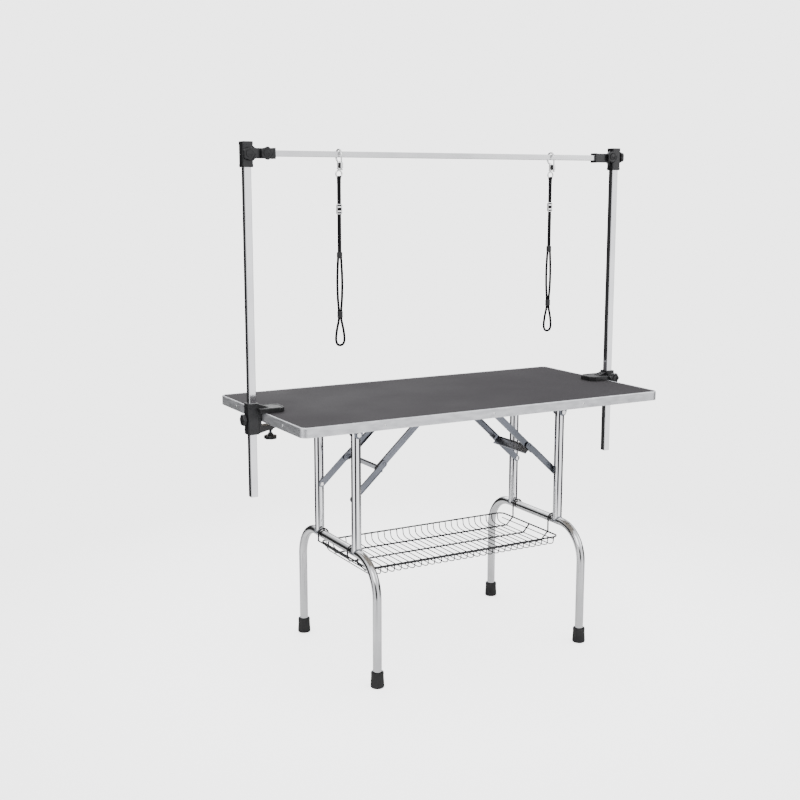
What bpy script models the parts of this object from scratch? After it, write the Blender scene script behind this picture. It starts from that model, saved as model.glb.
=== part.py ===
"""Folding grooming table: a rubber-topped board on two folding leg frames, a wire basket
hung between them, and an overhead bar on two clamped posts that carries two tether leashes.

Frame: X along the long side, -Y at the front, +Z up, the origin on the floor under the centre.
Sizes are in metres.
"""

import math

import bmesh
import bpy
from mathutils import Matrix, Vector

# Tabletop
TABLE_LENGTH = 1.170
TABLE_WIDTH = 0.580
TABLE_HEIGHT = 0.760
CORNER_RADIUS = 0.020
EDGE_HEIGHT = 0.026
EDGE_WALL = 0.0025
EDGE_FLANGE = 0.012
MAT_THICKNESS = 0.003
BOARD_THICKNESS = 0.018
GAP = 0.0003

# Leg frames
LEG_X = 0.347
PIVOT_Z = 0.693
UPRIGHT_Y = 0.120
UPRIGHT_RADIUS = 0.014
UPRIGHT_TOP = 0.718
LOWER_RADIUS = 0.0125
TUBE_WALL = 0.0015
CROSSBAR_Z = 0.352
FOOT_Y = 0.242
BEND_RADIUS = 0.100
FOOT_HEIGHT = 0.045
FOOT_BASE = 0.008
PIVOT_RADIUS = 0.005

# Braces, as distances from the leg pivot
BRACE_X = 0.243
BRACE_RISE = 0.033
BRACE_DROP = 0.190
LINK_WIDTH = 0.0192
LINK_TAIL = 0.026
TIE_HALF_WIDTH = 0.014
TIE_OFFSET = 0.017
TIE_DROP = 0.008
PIN_RADIUS = 0.003

# Posts and overhead bar
POST_X = 0.610
POST_Y = -0.015
POST_SIZE = 0.020
POST_BOTTOM = 0.525
POST_TOP = 1.4735
BAR_Z = 1.450
BAR_SIZE = 0.016
SLEEVE = 0.032
CORNER_SLEEVE = 0.029
SLIDE_FIT = 0.0006
SOCKET_HALF = 0.0125
LOBE_DEPTH = 0.07

# Basket
BASKET_X = 0.328
BASKET_Y = 0.155
RIM_Z = 0.3125
TRAY_Z = 0.288
HOOK_Y = 0.095
FRAME_WIRE = 0.0025
CROSS_WIRE = 0.0016
CROSS_WIRES = 29

# Leashes
LEASH_X = {"left": -0.340, "right": 0.370}
LOOP_RADIUS = 0.0034
STRAP_HALF_WIDTH = 0.0055

SIDES = {"left": -1, "right": 1}
ENDS = {"front": -1, "back": 1}

FINISHES = {
    "chrome": ((0.80, 0.80, 0.82), 0.12, 1.0),
    "steel": ((0.55, 0.56, 0.58), 0.35, 1.0),
    "aluminium": ((0.72, 0.73, 0.75), 0.40, 1.0),
    "black_plastic": ((0.020, 0.020, 0.022), 0.45, 0.0),
    "black_wire": ((0.015, 0.015, 0.016), 0.40, 0.0),
    "rubber": ((0.09, 0.085, 0.09), 0.80, 0.0),
    "black_rubber": ((0.025, 0.025, 0.027), 0.75, 0.0),
    "wood": ((0.45, 0.33, 0.21), 0.70, 0.0),
    "nylon": ((0.012, 0.012, 0.013), 0.85, 0.0),
}


def clear_scene():
    for item in list(bpy.data.objects):
        bpy.data.objects.remove(item, do_unlink=True)


def make_collection(name):
    made = bpy.data.collections.new(name)
    bpy.context.scene.collection.children.link(made)
    return made


clear_scene()
PARTS = make_collection("grooming_table")
CUTTERS = make_collection("cutters")


def make_material(name, finish):
    colour, roughness, metallic = FINISHES[finish]
    made = bpy.data.materials.new(name + "_" + finish)
    made.use_nodes = True
    shader = made.node_tree.nodes["Principled BSDF"]
    shader.inputs["Base Color"].default_value = (*colour, 1.0)
    shader.inputs["Roughness"].default_value = roughness
    shader.inputs["Metallic"].default_value = metallic
    return made


def place(mesh, name, finish=None):
    """Put a mesh in the scene: a finished part with its material, or a hidden cutter."""
    made = bpy.data.objects.new(name, mesh)
    if finish:
        PARTS.objects.link(made)
        made.data.materials.append(make_material(name, finish))
    else:
        CUTTERS.objects.link(made)
        made.hide_render = True
        made.display_type = "WIRE"
    return made


def mesh_from(build, name, smooth=False):
    """A mesh filled in by build(bmesh)."""
    shape = bmesh.new()
    build(shape)
    bmesh.ops.recalc_face_normals(shape, faces=shape.faces)
    mesh = bpy.data.meshes.new(name)
    shape.to_mesh(mesh)
    shape.free()
    if smooth:
        mesh.shade_smooth()
        mesh.set_sharp_from_angle(angle=math.radians(35))
    return mesh


def box(name, low, high, finish=None, corner=0.0, edges="Z", segments=3):
    """A box between two corners. edges says which edges are rounded: those along Z, or all."""
    low, high = Vector(low), Vector(high)

    def build(shape):
        bmesh.ops.create_cube(shape, size=1.0)
        bmesh.ops.scale(shape, vec=high - low, verts=shape.verts)
        bmesh.ops.translate(shape, vec=(low + high) / 2, verts=shape.verts)
        if corner:
            rounded = [
                e for e in shape.edges
                if edges == "all" or abs((e.verts[0].co - e.verts[1].co)[2]) > 1e-6
            ]
            bmesh.ops.bevel(
                shape, geom=rounded, offset=corner, segments=segments,
                profile=0.5, affect="EDGES",
            )

    return place(mesh_from(build, name), name, finish)


TURN = {
    "X": Matrix.Rotation(math.pi / 2, 4, "Y"),
    "Y": Matrix.Rotation(-math.pi / 2, 4, "X"),
    "Z": Matrix.Identity(4),
}


def cylinder(name, centre, radius, depth, finish=None, axis="Z", sides=16, top=None):
    """A cylinder, or a cone whose end towards +axis has the radius top."""
    placed = Matrix.Translation(centre) @ TURN[axis]

    def build(shape):
        bmesh.ops.create_cone(
            shape, cap_ends=True, segments=sides, radius1=radius,
            radius2=radius if top is None else top, depth=depth, matrix=placed,
        )

    return place(mesh_from(build, name, smooth=True), name, finish)


def solid_from_curve(curve, name, finish):
    """Turn a curve into a mesh object with its caps welded on."""
    made = bpy.data.objects.new(name + "_curve", curve)
    bpy.context.scene.collection.objects.link(made)
    bpy.context.view_layer.update()
    evaluated = made.evaluated_get(bpy.context.evaluated_depsgraph_get())
    mesh = bpy.data.meshes.new_from_object(evaluated)
    mesh.name = name
    bpy.data.objects.remove(made, do_unlink=True)
    mesh.materials.clear()
    shape = bmesh.new()
    shape.from_mesh(mesh)
    bmesh.ops.remove_doubles(shape, verts=shape.verts, dist=1e-6)
    bmesh.ops.recalc_face_normals(shape, faces=shape.faces)
    shape.to_mesh(mesh)
    shape.free()
    mesh.shade_smooth()
    mesh.set_sharp_from_angle(angle=math.radians(50))
    return place(mesh, name, finish)


def tube(name, points, radius, finish=None, resolution=2, closed=False):
    """A round tube or wire along straight runs between points."""
    curve = bpy.data.curves.new(name, "CURVE")
    curve.dimensions = "3D"
    curve.bevel_depth = radius
    curve.bevel_resolution = resolution
    curve.use_fill_caps = not closed
    spline = curve.splines.new("POLY")
    spline.points.add(len(points) - 1)
    for point, place_at in zip(spline.points, points):
        point.co = (*place_at, 1.0)
    spline.use_cyclic_u = closed
    return solid_from_curve(curve, name, finish)


def prism(name, outline, low, high, finish=None, axis="Y"):
    """A flat outline of (X, Z) points made solid from low to high along Y, or of (Y, Z) along X,
    or of (X, Y) along Z."""
    curve = bpy.data.curves.new(name, "CURVE")
    curve.dimensions = "2D"
    curve.fill_mode = "BOTH"
    curve.extrude = (high - low) / 2
    spline = curve.splines.new("POLY")
    spline.points.add(len(outline) - 1)
    for point, (u, v) in zip(spline.points, outline):
        point.co = (u, v, 0.0, 1.0)
    spline.use_cyclic_u = True
    made = solid_from_curve(curve, name, finish)
    middle = (low + high) / 2
    stand = {
        "X": Matrix(((0, 0, 1, middle), (1, 0, 0, 0), (0, 1, 0, 0), (0, 0, 0, 1))),
        "Y": Matrix(((1, 0, 0, 0), (0, 0, -1, middle), (0, 1, 0, 0), (0, 0, 0, 1))),
        "Z": Matrix.Translation((0, 0, middle)),
    }
    made.data.transform(stand[axis])
    return made


def combine(target, other, operation):
    modifier = target.modifiers.new(other.name, "BOOLEAN")
    modifier.operation = operation
    modifier.object = other
    modifier.solver = "EXACT"


def cut(target, *cutters):
    for cutter in cutters:
        combine(target, cutter, "DIFFERENCE")


def join(target, *others):
    for other in others:
        combine(target, other, "UNION")


def arc(centre, radius, start, end, steps):
    """Points (u, v) along an arc, with angles in degrees, both ends included."""
    angles = [math.radians(start + (end - start) * k / steps) for k in range(steps + 1)]
    return [(centre[0] + radius * math.cos(a), centre[1] + radius * math.sin(a)) for a in angles]


def lobed_disc(name, centre, radius, depth, finish=None, axis="Z", lobes=6):
    """A hand knob's head: a disc with shallow lobes for the fingers."""
    placed = Matrix.Translation(centre) @ TURN[axis]

    def build(shape):
        bmesh.ops.create_cone(
            shape, cap_ends=True, segments=5 * lobes, radius1=radius, radius2=radius, depth=depth
        )
        for vert in shape.verts:
            wave = math.cos(lobes * math.atan2(vert.co.y, vert.co.x))
            vert.co.xy *= 1 - LOBE_DEPTH + LOBE_DEPTH * wave
        bmesh.ops.transform(shape, matrix=placed, verts=shape.verts)

    return place(mesh_from(build, name, smooth=True), name, finish)


AXES = {}


def joint_axis(name, location, parent=None):
    """An empty on a joint's axis, which carries the pieces that the joint moves."""
    made = bpy.data.objects.new(name, None)
    made.empty_display_size = 0.03
    PARTS.objects.link(made)
    made.location = Vector(location)
    if parent:
        made.parent = parent
        made.location -= AXES[parent.name]
    AXES[name] = Vector(location)
    return made


def carry(axis, *pieces):
    """Parent pieces to a joint's empty and leave them where they are."""
    for piece in pieces:
        piece.parent = axis
        piece.matrix_parent_inverse = Matrix.Translation(-AXES[axis.name])


# ---------------------------------------------------------------- tabletop

BOARD_TOP = TABLE_HEIGHT - MAT_THICKNESS - GAP
BOARD_BOTTOM = BOARD_TOP - BOARD_THICKNESS
EDGE_BOTTOM = TABLE_HEIGHT - EDGE_HEIGHT


def slab(name, inset, low, high, finish=None):
    """A plate with the tabletop's outline, drawn in by inset."""
    half_x, half_y = TABLE_LENGTH / 2 - inset, TABLE_WIDTH / 2 - inset
    return box(
        name, (-half_x, -half_y, low), (half_x, half_y, high), finish,
        corner=max(CORNER_RADIUS - inset, 0.004), segments=6,
    )


def tabletop():
    slab("tabletop_board", EDGE_WALL + GAP, BOARD_BOTTOM, BOARD_TOP, "wood")
    slab("rubber_mat", EDGE_WALL + GAP, TABLE_HEIGHT - MAT_THICKNESS, TABLE_HEIGHT, "rubber")
    edge = slab("edge_profile", 0, EDGE_BOTTOM, TABLE_HEIGHT, "aluminium")
    inside = slab("edge_inside", EDGE_WALL, BOARD_BOTTOM - GAP, TABLE_HEIGHT + 0.01)
    below = slab("edge_below", EDGE_FLANGE, EDGE_BOTTOM - 0.01, BOARD_BOTTOM)
    cut(edge, inside, below)


# -------------------------------------------------------------- leg frames

STRIP_TOP = BOARD_BOTTOM - GAP
STRIP_BOTTOM = STRIP_TOP - 0.0025
EAR_HALF_WIDTH = 0.026
EAR_GAP = 0.0155
EAR_THICKNESS = 0.0025


def leg_bracket(side, x, end, sign):
    """A plate under the board with two ears and a pivot pin for one upright."""
    name = f"leg_bracket_{side}_{end}"
    low, high = across(sign, (UPRIGHT_Y - 0.022, UPRIGHT_Y + 0.022))
    plate = box(
        name, (x - EAR_HALF_WIDTH, low, STRIP_BOTTOM), (x + EAR_HALF_WIDTH, high, STRIP_TOP), "steel"
    )
    foot = arc((x, PIVOT_Z), 0.012, -20, -160, 4)
    reach = EAR_HALF_WIDTH - 0.0005
    outline = [(x + reach, STRIP_TOP - 0.001), *foot, (x - reach, STRIP_TOP - 0.001)]
    near, far = EAR_GAP, EAR_GAP + EAR_THICKNESS
    for face, step in (("inner", -1), ("outer", 1)):
        layer = across(sign, (UPRIGHT_Y + step * near, UPRIGHT_Y + step * far))
        head = (UPRIGHT_Y + step * (far - 0.001), UPRIGHT_Y + step * (far + 0.0025))
        join(plate, prism(f"{name}_ear_{face}", outline, *layer))
        join(plate, disc(f"{name}_head_{face}", x, PIVOT_Z, sign, head, 0.0075))
    span = (UPRIGHT_Y - far + 0.0005, UPRIGHT_Y + far - 0.0005)
    join(plate, disc(name + "_pin", x, PIVOT_Z, sign, span, PIVOT_RADIUS))
    return plate


# The brace's layers, as distances from the middle of the table
LOWER_LINK = (0.0997, 0.1027)
STUD_HEAD = (0.0969, 0.0994)
UPPER_WEB = (0.0946, 0.0966)
CHANNEL_DEPTH = 0.006
PIN_HEAD_TOP = 0.1048


def across(sign, pair):
    """A layer's low and high Y on the front (sign -1) or back (sign 1) half."""
    return min(sign * pair[0], sign * pair[1]), max(sign * pair[0], sign * pair[1])


def disc(name, x, z, sign, pair, radius, sides=12):
    """A round disc on an axis along Y that fills a layer."""
    low, high = across(sign, pair)
    return cylinder(name, (x, (low + high) / 2, z), radius, high - low, axis="Y", sides=sides)


def upright(side, x, end, sign):
    """A leg's upper tube, with the stud for its brace welded on."""
    name = f"upright_{side}_{end}"
    y = sign * UPRIGHT_Y
    middle, height = (CROSSBAR_Z + UPRIGHT_TOP) / 2, UPRIGHT_TOP - CROSSBAR_Z
    made = cylinder(name, (x, y, middle), UPRIGHT_RADIUS, height, "chrome")
    bore = cylinder(name + "_bore", (x, y, middle), UPRIGHT_RADIUS - TUBE_WALL, height + 0.02)
    saddle = cylinder(
        name + "_saddle", (x, y, CROSSBAR_Z), LOWER_RADIUS + 2 * GAP, 0.06, axis="Y", sides=20
    )
    hole = cylinder(name + "_hole", (x, y, PIVOT_Z), PIVOT_RADIUS + 2 * GAP, 0.06, axis="Y")
    cut(made, bore, saddle, hole)
    z = PIVOT_Z - BRACE_DROP
    reach = UPRIGHT_Y - UPRIGHT_RADIUS + 0.001
    collar = disc(name + "_collar", x, z, sign, (LOWER_LINK[1] + GAP, reach), 0.0055)
    stud = disc(name + "_stud", x, z, sign, (STUD_HEAD[0] + 0.001, reach), PIN_RADIUS)
    head = disc(name + "_head", x, z, sign, STUD_HEAD, 0.006)
    join(made, collar, stud, head)
    return made


def lower_path(x):
    """The centreline of a leg frame's lower tube: foot, bend, crossbar, bend, foot."""
    bend_z = CROSSBAR_Z - BEND_RADIUS
    bend_y = FOOT_Y - BEND_RADIUS
    front = arc((-bend_y, bend_z), BEND_RADIUS, 180, 90, 6)
    back = arc((bend_y, bend_z), BEND_RADIUS, 90, 0, 6)
    path = [(-FOOT_Y, FOOT_BASE), *front, *back, (FOOT_Y, FOOT_BASE)]
    return [(x, y, z) for y, z in path]


def lower_frame(side, x):
    name = "lower_frame_" + side
    path = lower_path(x)
    made = tube(name, path, LOWER_RADIUS, "chrome", resolution=3)
    inside = [(x, y, z - 0.01 if z == FOOT_BASE else z) for _, y, z in path]
    bore = tube(name + "_bore", inside, LOWER_RADIUS - TUBE_WALL, resolution=2)
    cut(made, bore)
    return made


def foot(side, x, end, sign):
    """A rubber cap on a lower tube's end."""
    name = f"foot_{side}_{end}"
    y = sign * FOOT_Y
    made = cylinder(name, (x, y, FOOT_HEIGHT / 2), 0.0195, FOOT_HEIGHT, "black_rubber", top=0.0175)
    rounded = made.modifiers.new("rounded", "BEVEL")
    rounded.width = 0.0025
    rounded.segments = 1
    rounded.limit_method = "ANGLE"
    socket = cylinder(
        name + "_socket", (x, y, FOOT_BASE - GAP + 0.03), LOWER_RADIUS + 0.0005, 0.06
    )
    cut(made, socket)
    return made


# ------------------------------------------------------------------ braces

def brace_lengths():
    """Upper and lower link lengths: straight when the leg stands, end over end when it is flat."""
    straight = math.hypot(BRACE_X, BRACE_RISE + BRACE_DROP)
    folded = math.hypot(BRACE_X - BRACE_DROP, BRACE_RISE)
    return (straight + folded) / 2, (straight - folded) / 2


def brace_points(inward):
    """The brace's three pivots as (X, Z): under the board, the knee, and on the leg.
    inward is +1 where the table's middle lies towards +X."""
    leg_x = -inward * LEG_X
    top = (leg_x + inward * BRACE_X, PIVOT_Z + BRACE_RISE)
    low = (leg_x, PIVOT_Z - BRACE_DROP)
    upper, lower = brace_lengths()
    share = lower / (upper + lower)
    knee = (low[0] + (top[0] - low[0]) * share, low[1] + (top[1] - low[1]) * share)
    return top, knee, low


def link_outline(start, end, width):
    """A flat bar between two pivots, with half-round ends."""
    slope = math.degrees(math.atan2(end[1] - start[1], end[0] - start[0]))
    first = arc(start, width / 2, slope + 90, slope + 270, 6)
    return [*first, *arc(end, width / 2, slope - 90, slope + 90, 6)]


def between(start, end, share):
    return tuple(a + (b - a) * share for a, b in zip(start, end))


def upper_link(side, end, sign, top, knee):
    """The channel from the board past the knee, with a boss for the knee pivot."""
    name = f"upper_link_{side}_{end}"
    unit = (Vector(knee) - Vector(top)).normalized()
    tail = Vector(knee) + unit * LINK_TAIL
    made = prism(name, link_outline(top, tail, LINK_WIDTH), *across(sign, UPPER_WEB), "steel")
    depth = (UPPER_WEB[0] - CHANNEL_DEPTH, UPPER_WEB[0] + 0.001)
    start, stop = between(top, knee, 0.06), tail
    square = Vector((-unit.y, unit.x))
    for edge in (-1, 1):
        rim = square * edge * (LINK_WIDTH / 2 - 0.0003)
        lip = square * edge * (LINK_WIDTH / 2 - 0.0018)
        outline = [Vector(start) + rim, Vector(stop) + rim, Vector(stop) + lip, Vector(start) + lip]
        if edge > 0:
            outline.reverse()
        flange = prism(f"{name}_flange_{edge}", outline, *across(sign, depth))
        join(made, flange)
    boss = disc(name + "_boss", *knee, sign, (UPPER_WEB[1] - 0.001, LOWER_LINK[0] - GAP), 0.006)
    hole = disc(name + "_hole", *top, sign, (0.08, 0.11), PIN_RADIUS + GAP)
    join(made, boss)
    cut(made, hole)
    return made


def lower_link(side, end, sign, knee, low):
    """The flat bar from the knee to the leg's stud, with the knee pin's head on its far face."""
    name = f"lower_link_{side}_{end}"
    made = prism(name, link_outline(knee, low, LINK_WIDTH), *across(sign, LOWER_LINK), "steel")
    head = disc(name + "_head", *knee, sign, (LOWER_LINK[1] - 0.0005, PIN_HEAD_TOP), 0.005)
    hole = disc(name + "_hole", *low, sign, (0.09, 0.11), PIN_RADIUS + GAP)
    join(made, head)
    cut(made, hole)
    return made


def tie_plate(side, top, knee):
    """The flat bar that joins a frame's two upper links just beyond their knees."""
    unit = (Vector(top) - Vector(knee)).normalized()
    square = Vector((-unit.y, unit.x))
    down = -square if square.y > 0 else square
    middle = Vector(knee) - unit * TIE_OFFSET + down * TIE_DROP
    wide, thick = square * TIE_HALF_WIDTH, unit * 0.001
    outline = [
        middle - wide - thick, middle - wide + thick,
        middle + wide + thick, middle + wide - thick,
    ]
    if unit.cross(square) < 0:
        outline.reverse()
    reach = UPPER_WEB[0] - CHANNEL_DEPTH - GAP
    return prism("tie_plate_" + side, outline, -reach, reach, "steel")


def brace_bracket(side, top, end, sign):
    """A plate under the board with an ear and a pivot pin for one upper link."""
    name = f"brace_bracket_{side}_{end}"
    x, z = top
    low, high = across(sign, (0.092, 0.120))
    plate = box(name, (x - 0.011, low, STRIP_BOTTOM), (x + 0.011, high, STRIP_TOP), "steel")
    layer = (UPPER_WEB[1] + GAP, UPPER_WEB[1] + GAP + 0.0025)
    edge = STRIP_TOP - 0.001
    outline = [(x + 0.010, edge), *arc((x, z), 0.009, 0, -180, 5), (x - 0.010, edge)]
    ear = prism(name + "_ear", outline, *across(sign, layer))
    pin = disc(name + "_pin", x, z, sign, (0.0930, layer[0] + 0.001), PIN_RADIUS)
    head = disc(name + "_head", x, z, sign, (0.0922, UPPER_WEB[0] - GAP), 0.0048)
    join(plate, ear, pin, head)
    return plate


def leg_side(side, sign_x):
    """One folding leg frame with its brackets, braces and tie plate."""
    x = sign_x * LEG_X
    top, knee, low = brace_points(-sign_x)
    leg_axis = joint_axis(f"leg_{side}_axis", (x, 0, PIVOT_Z))
    upper_axis = joint_axis(f"upper_links_{side}_axis", (top[0], 0, top[1]))
    lower_axis = joint_axis(f"lower_links_{side}_axis", (low[0], 0, low[1]), leg_axis)
    carry(leg_axis, lower_frame(side, x))
    carry(upper_axis, tie_plate(side, top, knee))
    for end, sign in ENDS.items():
        leg_bracket(side, x, end, sign)
        brace_bracket(side, top, end, sign)
        carry(leg_axis, upright(side, x, end, sign), foot(side, x, end, sign))
        carry(upper_axis, upper_link(side, end, sign, top, knee))
        carry(lower_axis, lower_link(side, end, sign, knee, low))


# ------------------------------------------------------------------ basket

HOOK_REACH = LOWER_RADIUS + FRAME_WIRE + 0.0010


def rim_path():
    """The basket's rim: a rectangle with rounded corners, seen from above."""
    radius = 0.020
    x, y = BASKET_X - radius, BASKET_Y - radius
    path = []
    for centre, start in (((x, y), 0), ((-x, y), 90), ((-x, -y), 180), ((x, -y), 270)):
        path += arc(centre, radius, start, start + 90, 3)
    return [(u, v, RIM_Z) for u, v in path]


def hook_path(y):
    """A wire along the tray that rises at both ends and hooks over the crossbars."""
    over = HOOK_REACH
    crown = arc((LEG_X, CROSSBAR_Z), over, 180, 0, 5)
    tip = (LEG_X + over, CROSSBAR_Z - 0.020)
    half = [(BASKET_X - 0.022, TRAY_Z), (LEG_X - over, RIM_Z), *crown, tip]
    return [*[(-u, y, v) for u, v in reversed(half)], *[(u, y, v) for u, v in half]]


def plain_path(y):
    """The middle wire along the tray, which rises only to the rim."""
    half = [(BASKET_X - 0.022, TRAY_Z), (BASKET_X, RIM_Z)]
    return [*[(-u, y, v) for u, v in reversed(half)], *[(u, y, v) for u, v in half]]


def cross_path(x):
    """A wire across the tray, bent up to the rim on both long sides."""
    low = TRAY_Z - FRAME_WIRE
    half = [(BASKET_Y - 0.022, low), (BASKET_Y - 0.004, low + 0.006), (BASKET_Y, RIM_Z)]
    return [*[(x, -v, w) for v, w in reversed(half)], *[(x, v, w) for v, w in half]]


def basket():
    """The hanging wire basket, welded from its rim, hook wires, stays and cross wires."""
    made = tube("wire_basket", rim_path(), FRAME_WIRE, "black_wire", resolution=0, closed=True)
    wires = [tube("basket_middle_wire", plain_path(0.0), FRAME_WIRE, resolution=0)]
    for end, sign in ENDS.items():
        path = hook_path(sign * HOOK_Y)
        wires.append(tube("basket_hook_wire_" + end, path, FRAME_WIRE, resolution=0))
    hook_x = LEG_X + HOOK_REACH
    end_x, end_z = BASKET_X - 0.008, (RIM_Z + TRAY_Z) / 2
    for side, sign in SIDES.items():
        stay = [(sign * hook_x, y, CROSSBAR_Z - 0.019) for y in (-HOOK_Y - 0.003, HOOK_Y + 0.003)]
        wires.append(tube("basket_stay_" + side, stay, FRAME_WIRE * 0.9, resolution=0))
        bar = [(sign * end_x, y, end_z) for y in (-0.140, 0.140)]
        wires.append(tube("basket_end_wire_" + side, bar, CROSS_WIRE, resolution=0))
    reach = BASKET_X - 0.018
    for k in range(CROSS_WIRES):
        x = -reach + 2 * reach * k / (CROSS_WIRES - 1)
        wires.append(tube(f"basket_cross_wire_{k}", cross_path(x), CROSS_WIRE, resolution=0))
    join(made, *wires)
    axis = joint_axis("basket_axis", (0, 0, RIM_Z))
    carry(axis, made)


# -------------------------------------------------------------- clamp arms

JAW_X = 0.523
JAW_Y = (-0.051, 0.021)
WEB_HALF = 0.0143
CLAMP_LOW = 0.700
CLAMP_HIGH = 0.786
SCREW_X = 0.556
LOWER_JAW_TOP = 0.7235
KNOB_RADIUS = 0.018
KNOB_STAND = 0.003
GRIP_Z = 0.687


def square_tube(name, low, high, size, wall, axis, finish):
    """A square tube open at both ends, along Z or X between two values."""
    half, hollow = size / 2, size / 2 - wall
    if axis == "Z":
        x, y = low[0], low[1]
        made = box(
            name, (x - half, y - half, low[2]), (x + half, y + half, high[2]), finish,
            corner=0.0015, segments=2,
        )
        bore = box(
            name + "_bore", (x - hollow, y - hollow, low[2] - 0.01),
            (x + hollow, y + hollow, high[2] + 0.01),
        )
    else:
        y, z = low[1], low[2]
        made = box(name, (low[0], y - half, z - half), (high[0], y + half, z + half), finish)
        bore = box(
            name + "_bore", (low[0] - 0.01, y - hollow, z - hollow),
            (high[0] + 0.01, y + hollow, z + hollow),
        )
    cut(made, bore)
    return made


def clamp(side, sign):
    """The cast clamp: a sleeve for the post, a wide top jaw and a narrow lower jaw."""
    name = "clamp_" + side
    half = SLEEVE / 2
    x = sign * POST_X

    def span(a, b):
        return min(sign * a, sign * b), max(sign * a, sign * b)

    made = box(
        name, (x - half, POST_Y - half, CLAMP_LOW), (x + half, POST_Y + half, CLAMP_HIGH),
        "black_plastic", corner=0.003, segments=2,
    )
    jaw_low, jaw_high = TABLE_HEIGHT + GAP, TABLE_HEIGHT + 0.0135
    inner, outer = JAW_X, POST_X - half + 0.004
    corner = 0.014
    outline = [
        (inner + corner, JAW_Y[0]), (outer, JAW_Y[0]), (outer, JAW_Y[1]),
        (inner + corner, JAW_Y[1]), (inner, JAW_Y[1] - corner), (inner, JAW_Y[0] + corner),
    ]
    outline = [(sign * u, v) for u, v in outline]
    if sign < 0:
        outline.reverse()
    jaw = prism(name + "_top_jaw", outline, jaw_low, jaw_high, axis="Z")
    web_x = span(TABLE_LENGTH / 2 + 0.002, outer - 0.0008)
    web = box(
        name + "_web", (web_x[0], POST_Y - WEB_HALF, CLAMP_LOW + 0.004),
        (web_x[1], POST_Y + WEB_HALF, jaw_high - 0.002),
    )
    rib = [(POST_X - half + 0.002, CLAMP_HIGH - 0.002), (POST_X - half + 0.002, jaw_high - 0.002)]
    rib.append((POST_X - half - 0.034, jaw_high - 0.002))
    rib = [(sign * u, v) for u, v in rib]
    if sign > 0:
        rib.reverse()
    gusset = prism(name + "_rib", rib, POST_Y - 0.003, POST_Y + 0.003)
    root = POST_X - half + 0.0015
    tip = SCREW_X - 0.016
    lower = [
        (root, CLAMP_LOW + 0.002), (root, LOWER_JAW_TOP), (tip, LOWER_JAW_TOP - 0.001),
        (tip, LOWER_JAW_TOP - 0.008), (SCREW_X + 0.012, CLAMP_LOW + 0.009),
    ]
    lower = [(sign * u, v) for u, v in lower]
    if sign > 0:
        lower.reverse()
    arm = prism(name + "_lower_jaw", lower, POST_Y - 0.015, POST_Y + 0.015)
    join(made, web, jaw, gusset, arm)
    hole_half = POST_SIZE / 2 + SLIDE_FIT / 2
    post_hole = box(
        name + "_post_hole", (x - hole_half, POST_Y - hole_half, CLAMP_LOW - 0.01),
        (x + hole_half, POST_Y + hole_half, CLAMP_HIGH + 0.01),
    )
    screw_hole = cylinder(
        name + "_screw_hole", (sign * SCREW_X, POST_Y, CLAMP_LOW + 0.015), 0.0043, 0.05, sides=16
    )
    cut(made, post_hole, screw_hole)
    return made


def clamp_screw(side, sign):
    """The thumbscrew under the lower jaw, with its pressure pad and flat knob."""
    name = "clamp_screw_" + side
    x = sign * SCREW_X
    pad_top = BOARD_BOTTOM - GAP
    pad_low = pad_top - 0.004
    made = cylinder(name, (x, POST_Y, pad_low + 0.002), 0.0090, 0.004, "steel")
    rod_low, rod_top = GRIP_Z - 0.003, pad_low + 0.001
    rod = cylinder(
        name + "_rod", (x, POST_Y, (rod_low + rod_top) / 2), 0.0038, rod_top - rod_low, sides=12
    )
    knob = lobed_disc(name + "_grip", (x, POST_Y, GRIP_Z), 0.0185, 0.011, lobes=7)
    neck = cylinder(name + "_neck", (x, POST_Y, GRIP_Z + 0.007), 0.007, 0.006, sides=12)
    join(made, rod, knob, neck)
    return made


def hand_knob(name, face, facing, radius, thick, stem, lobes=5, stand=KNOB_STAND):
    """A lobed knob on a screw. face is the point where its screw enters the wall, facing is the
    way its head points ("-Y", "-X" or "+X"), stem is how far the screw goes in, and stand is how
    far the head stands off the wall."""
    axis = facing[1]
    out = 1 if facing[0] == "+" else -1
    step = Vector((out, 0, 0)) if axis == "X" else Vector((0, out, 0))
    face = Vector(face)

    def along(part, low, high, size, sides):
        """A round part of the knob from low to high, measured outwards from the wall."""
        middle = face + step * (low + high) / 2
        return cylinder(name + part, middle, size, high - low, axis=axis, sides=sides)

    made = lobed_disc(
        name, face + step * (stand + thick / 2), radius, thick, "black_plastic", axis, lobes
    )
    neck = along("_neck", GAP, stand + 0.001, min(radius * 0.5, 0.005), 12)
    screw = along("_screw", -stem, stand, 0.0025, 8)
    dome = along("_dome", stand + thick - 0.001, stand + thick + 0.002, radius * 0.55, 12)
    join(made, neck, screw, dome)
    return made


def screw_hole(name, face, axis, depth):
    """A cutter for the hole that a knob's screw turns in."""
    return cylinder(name, face, 0.0030, 2 * depth, axis=axis, sides=12)


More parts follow.
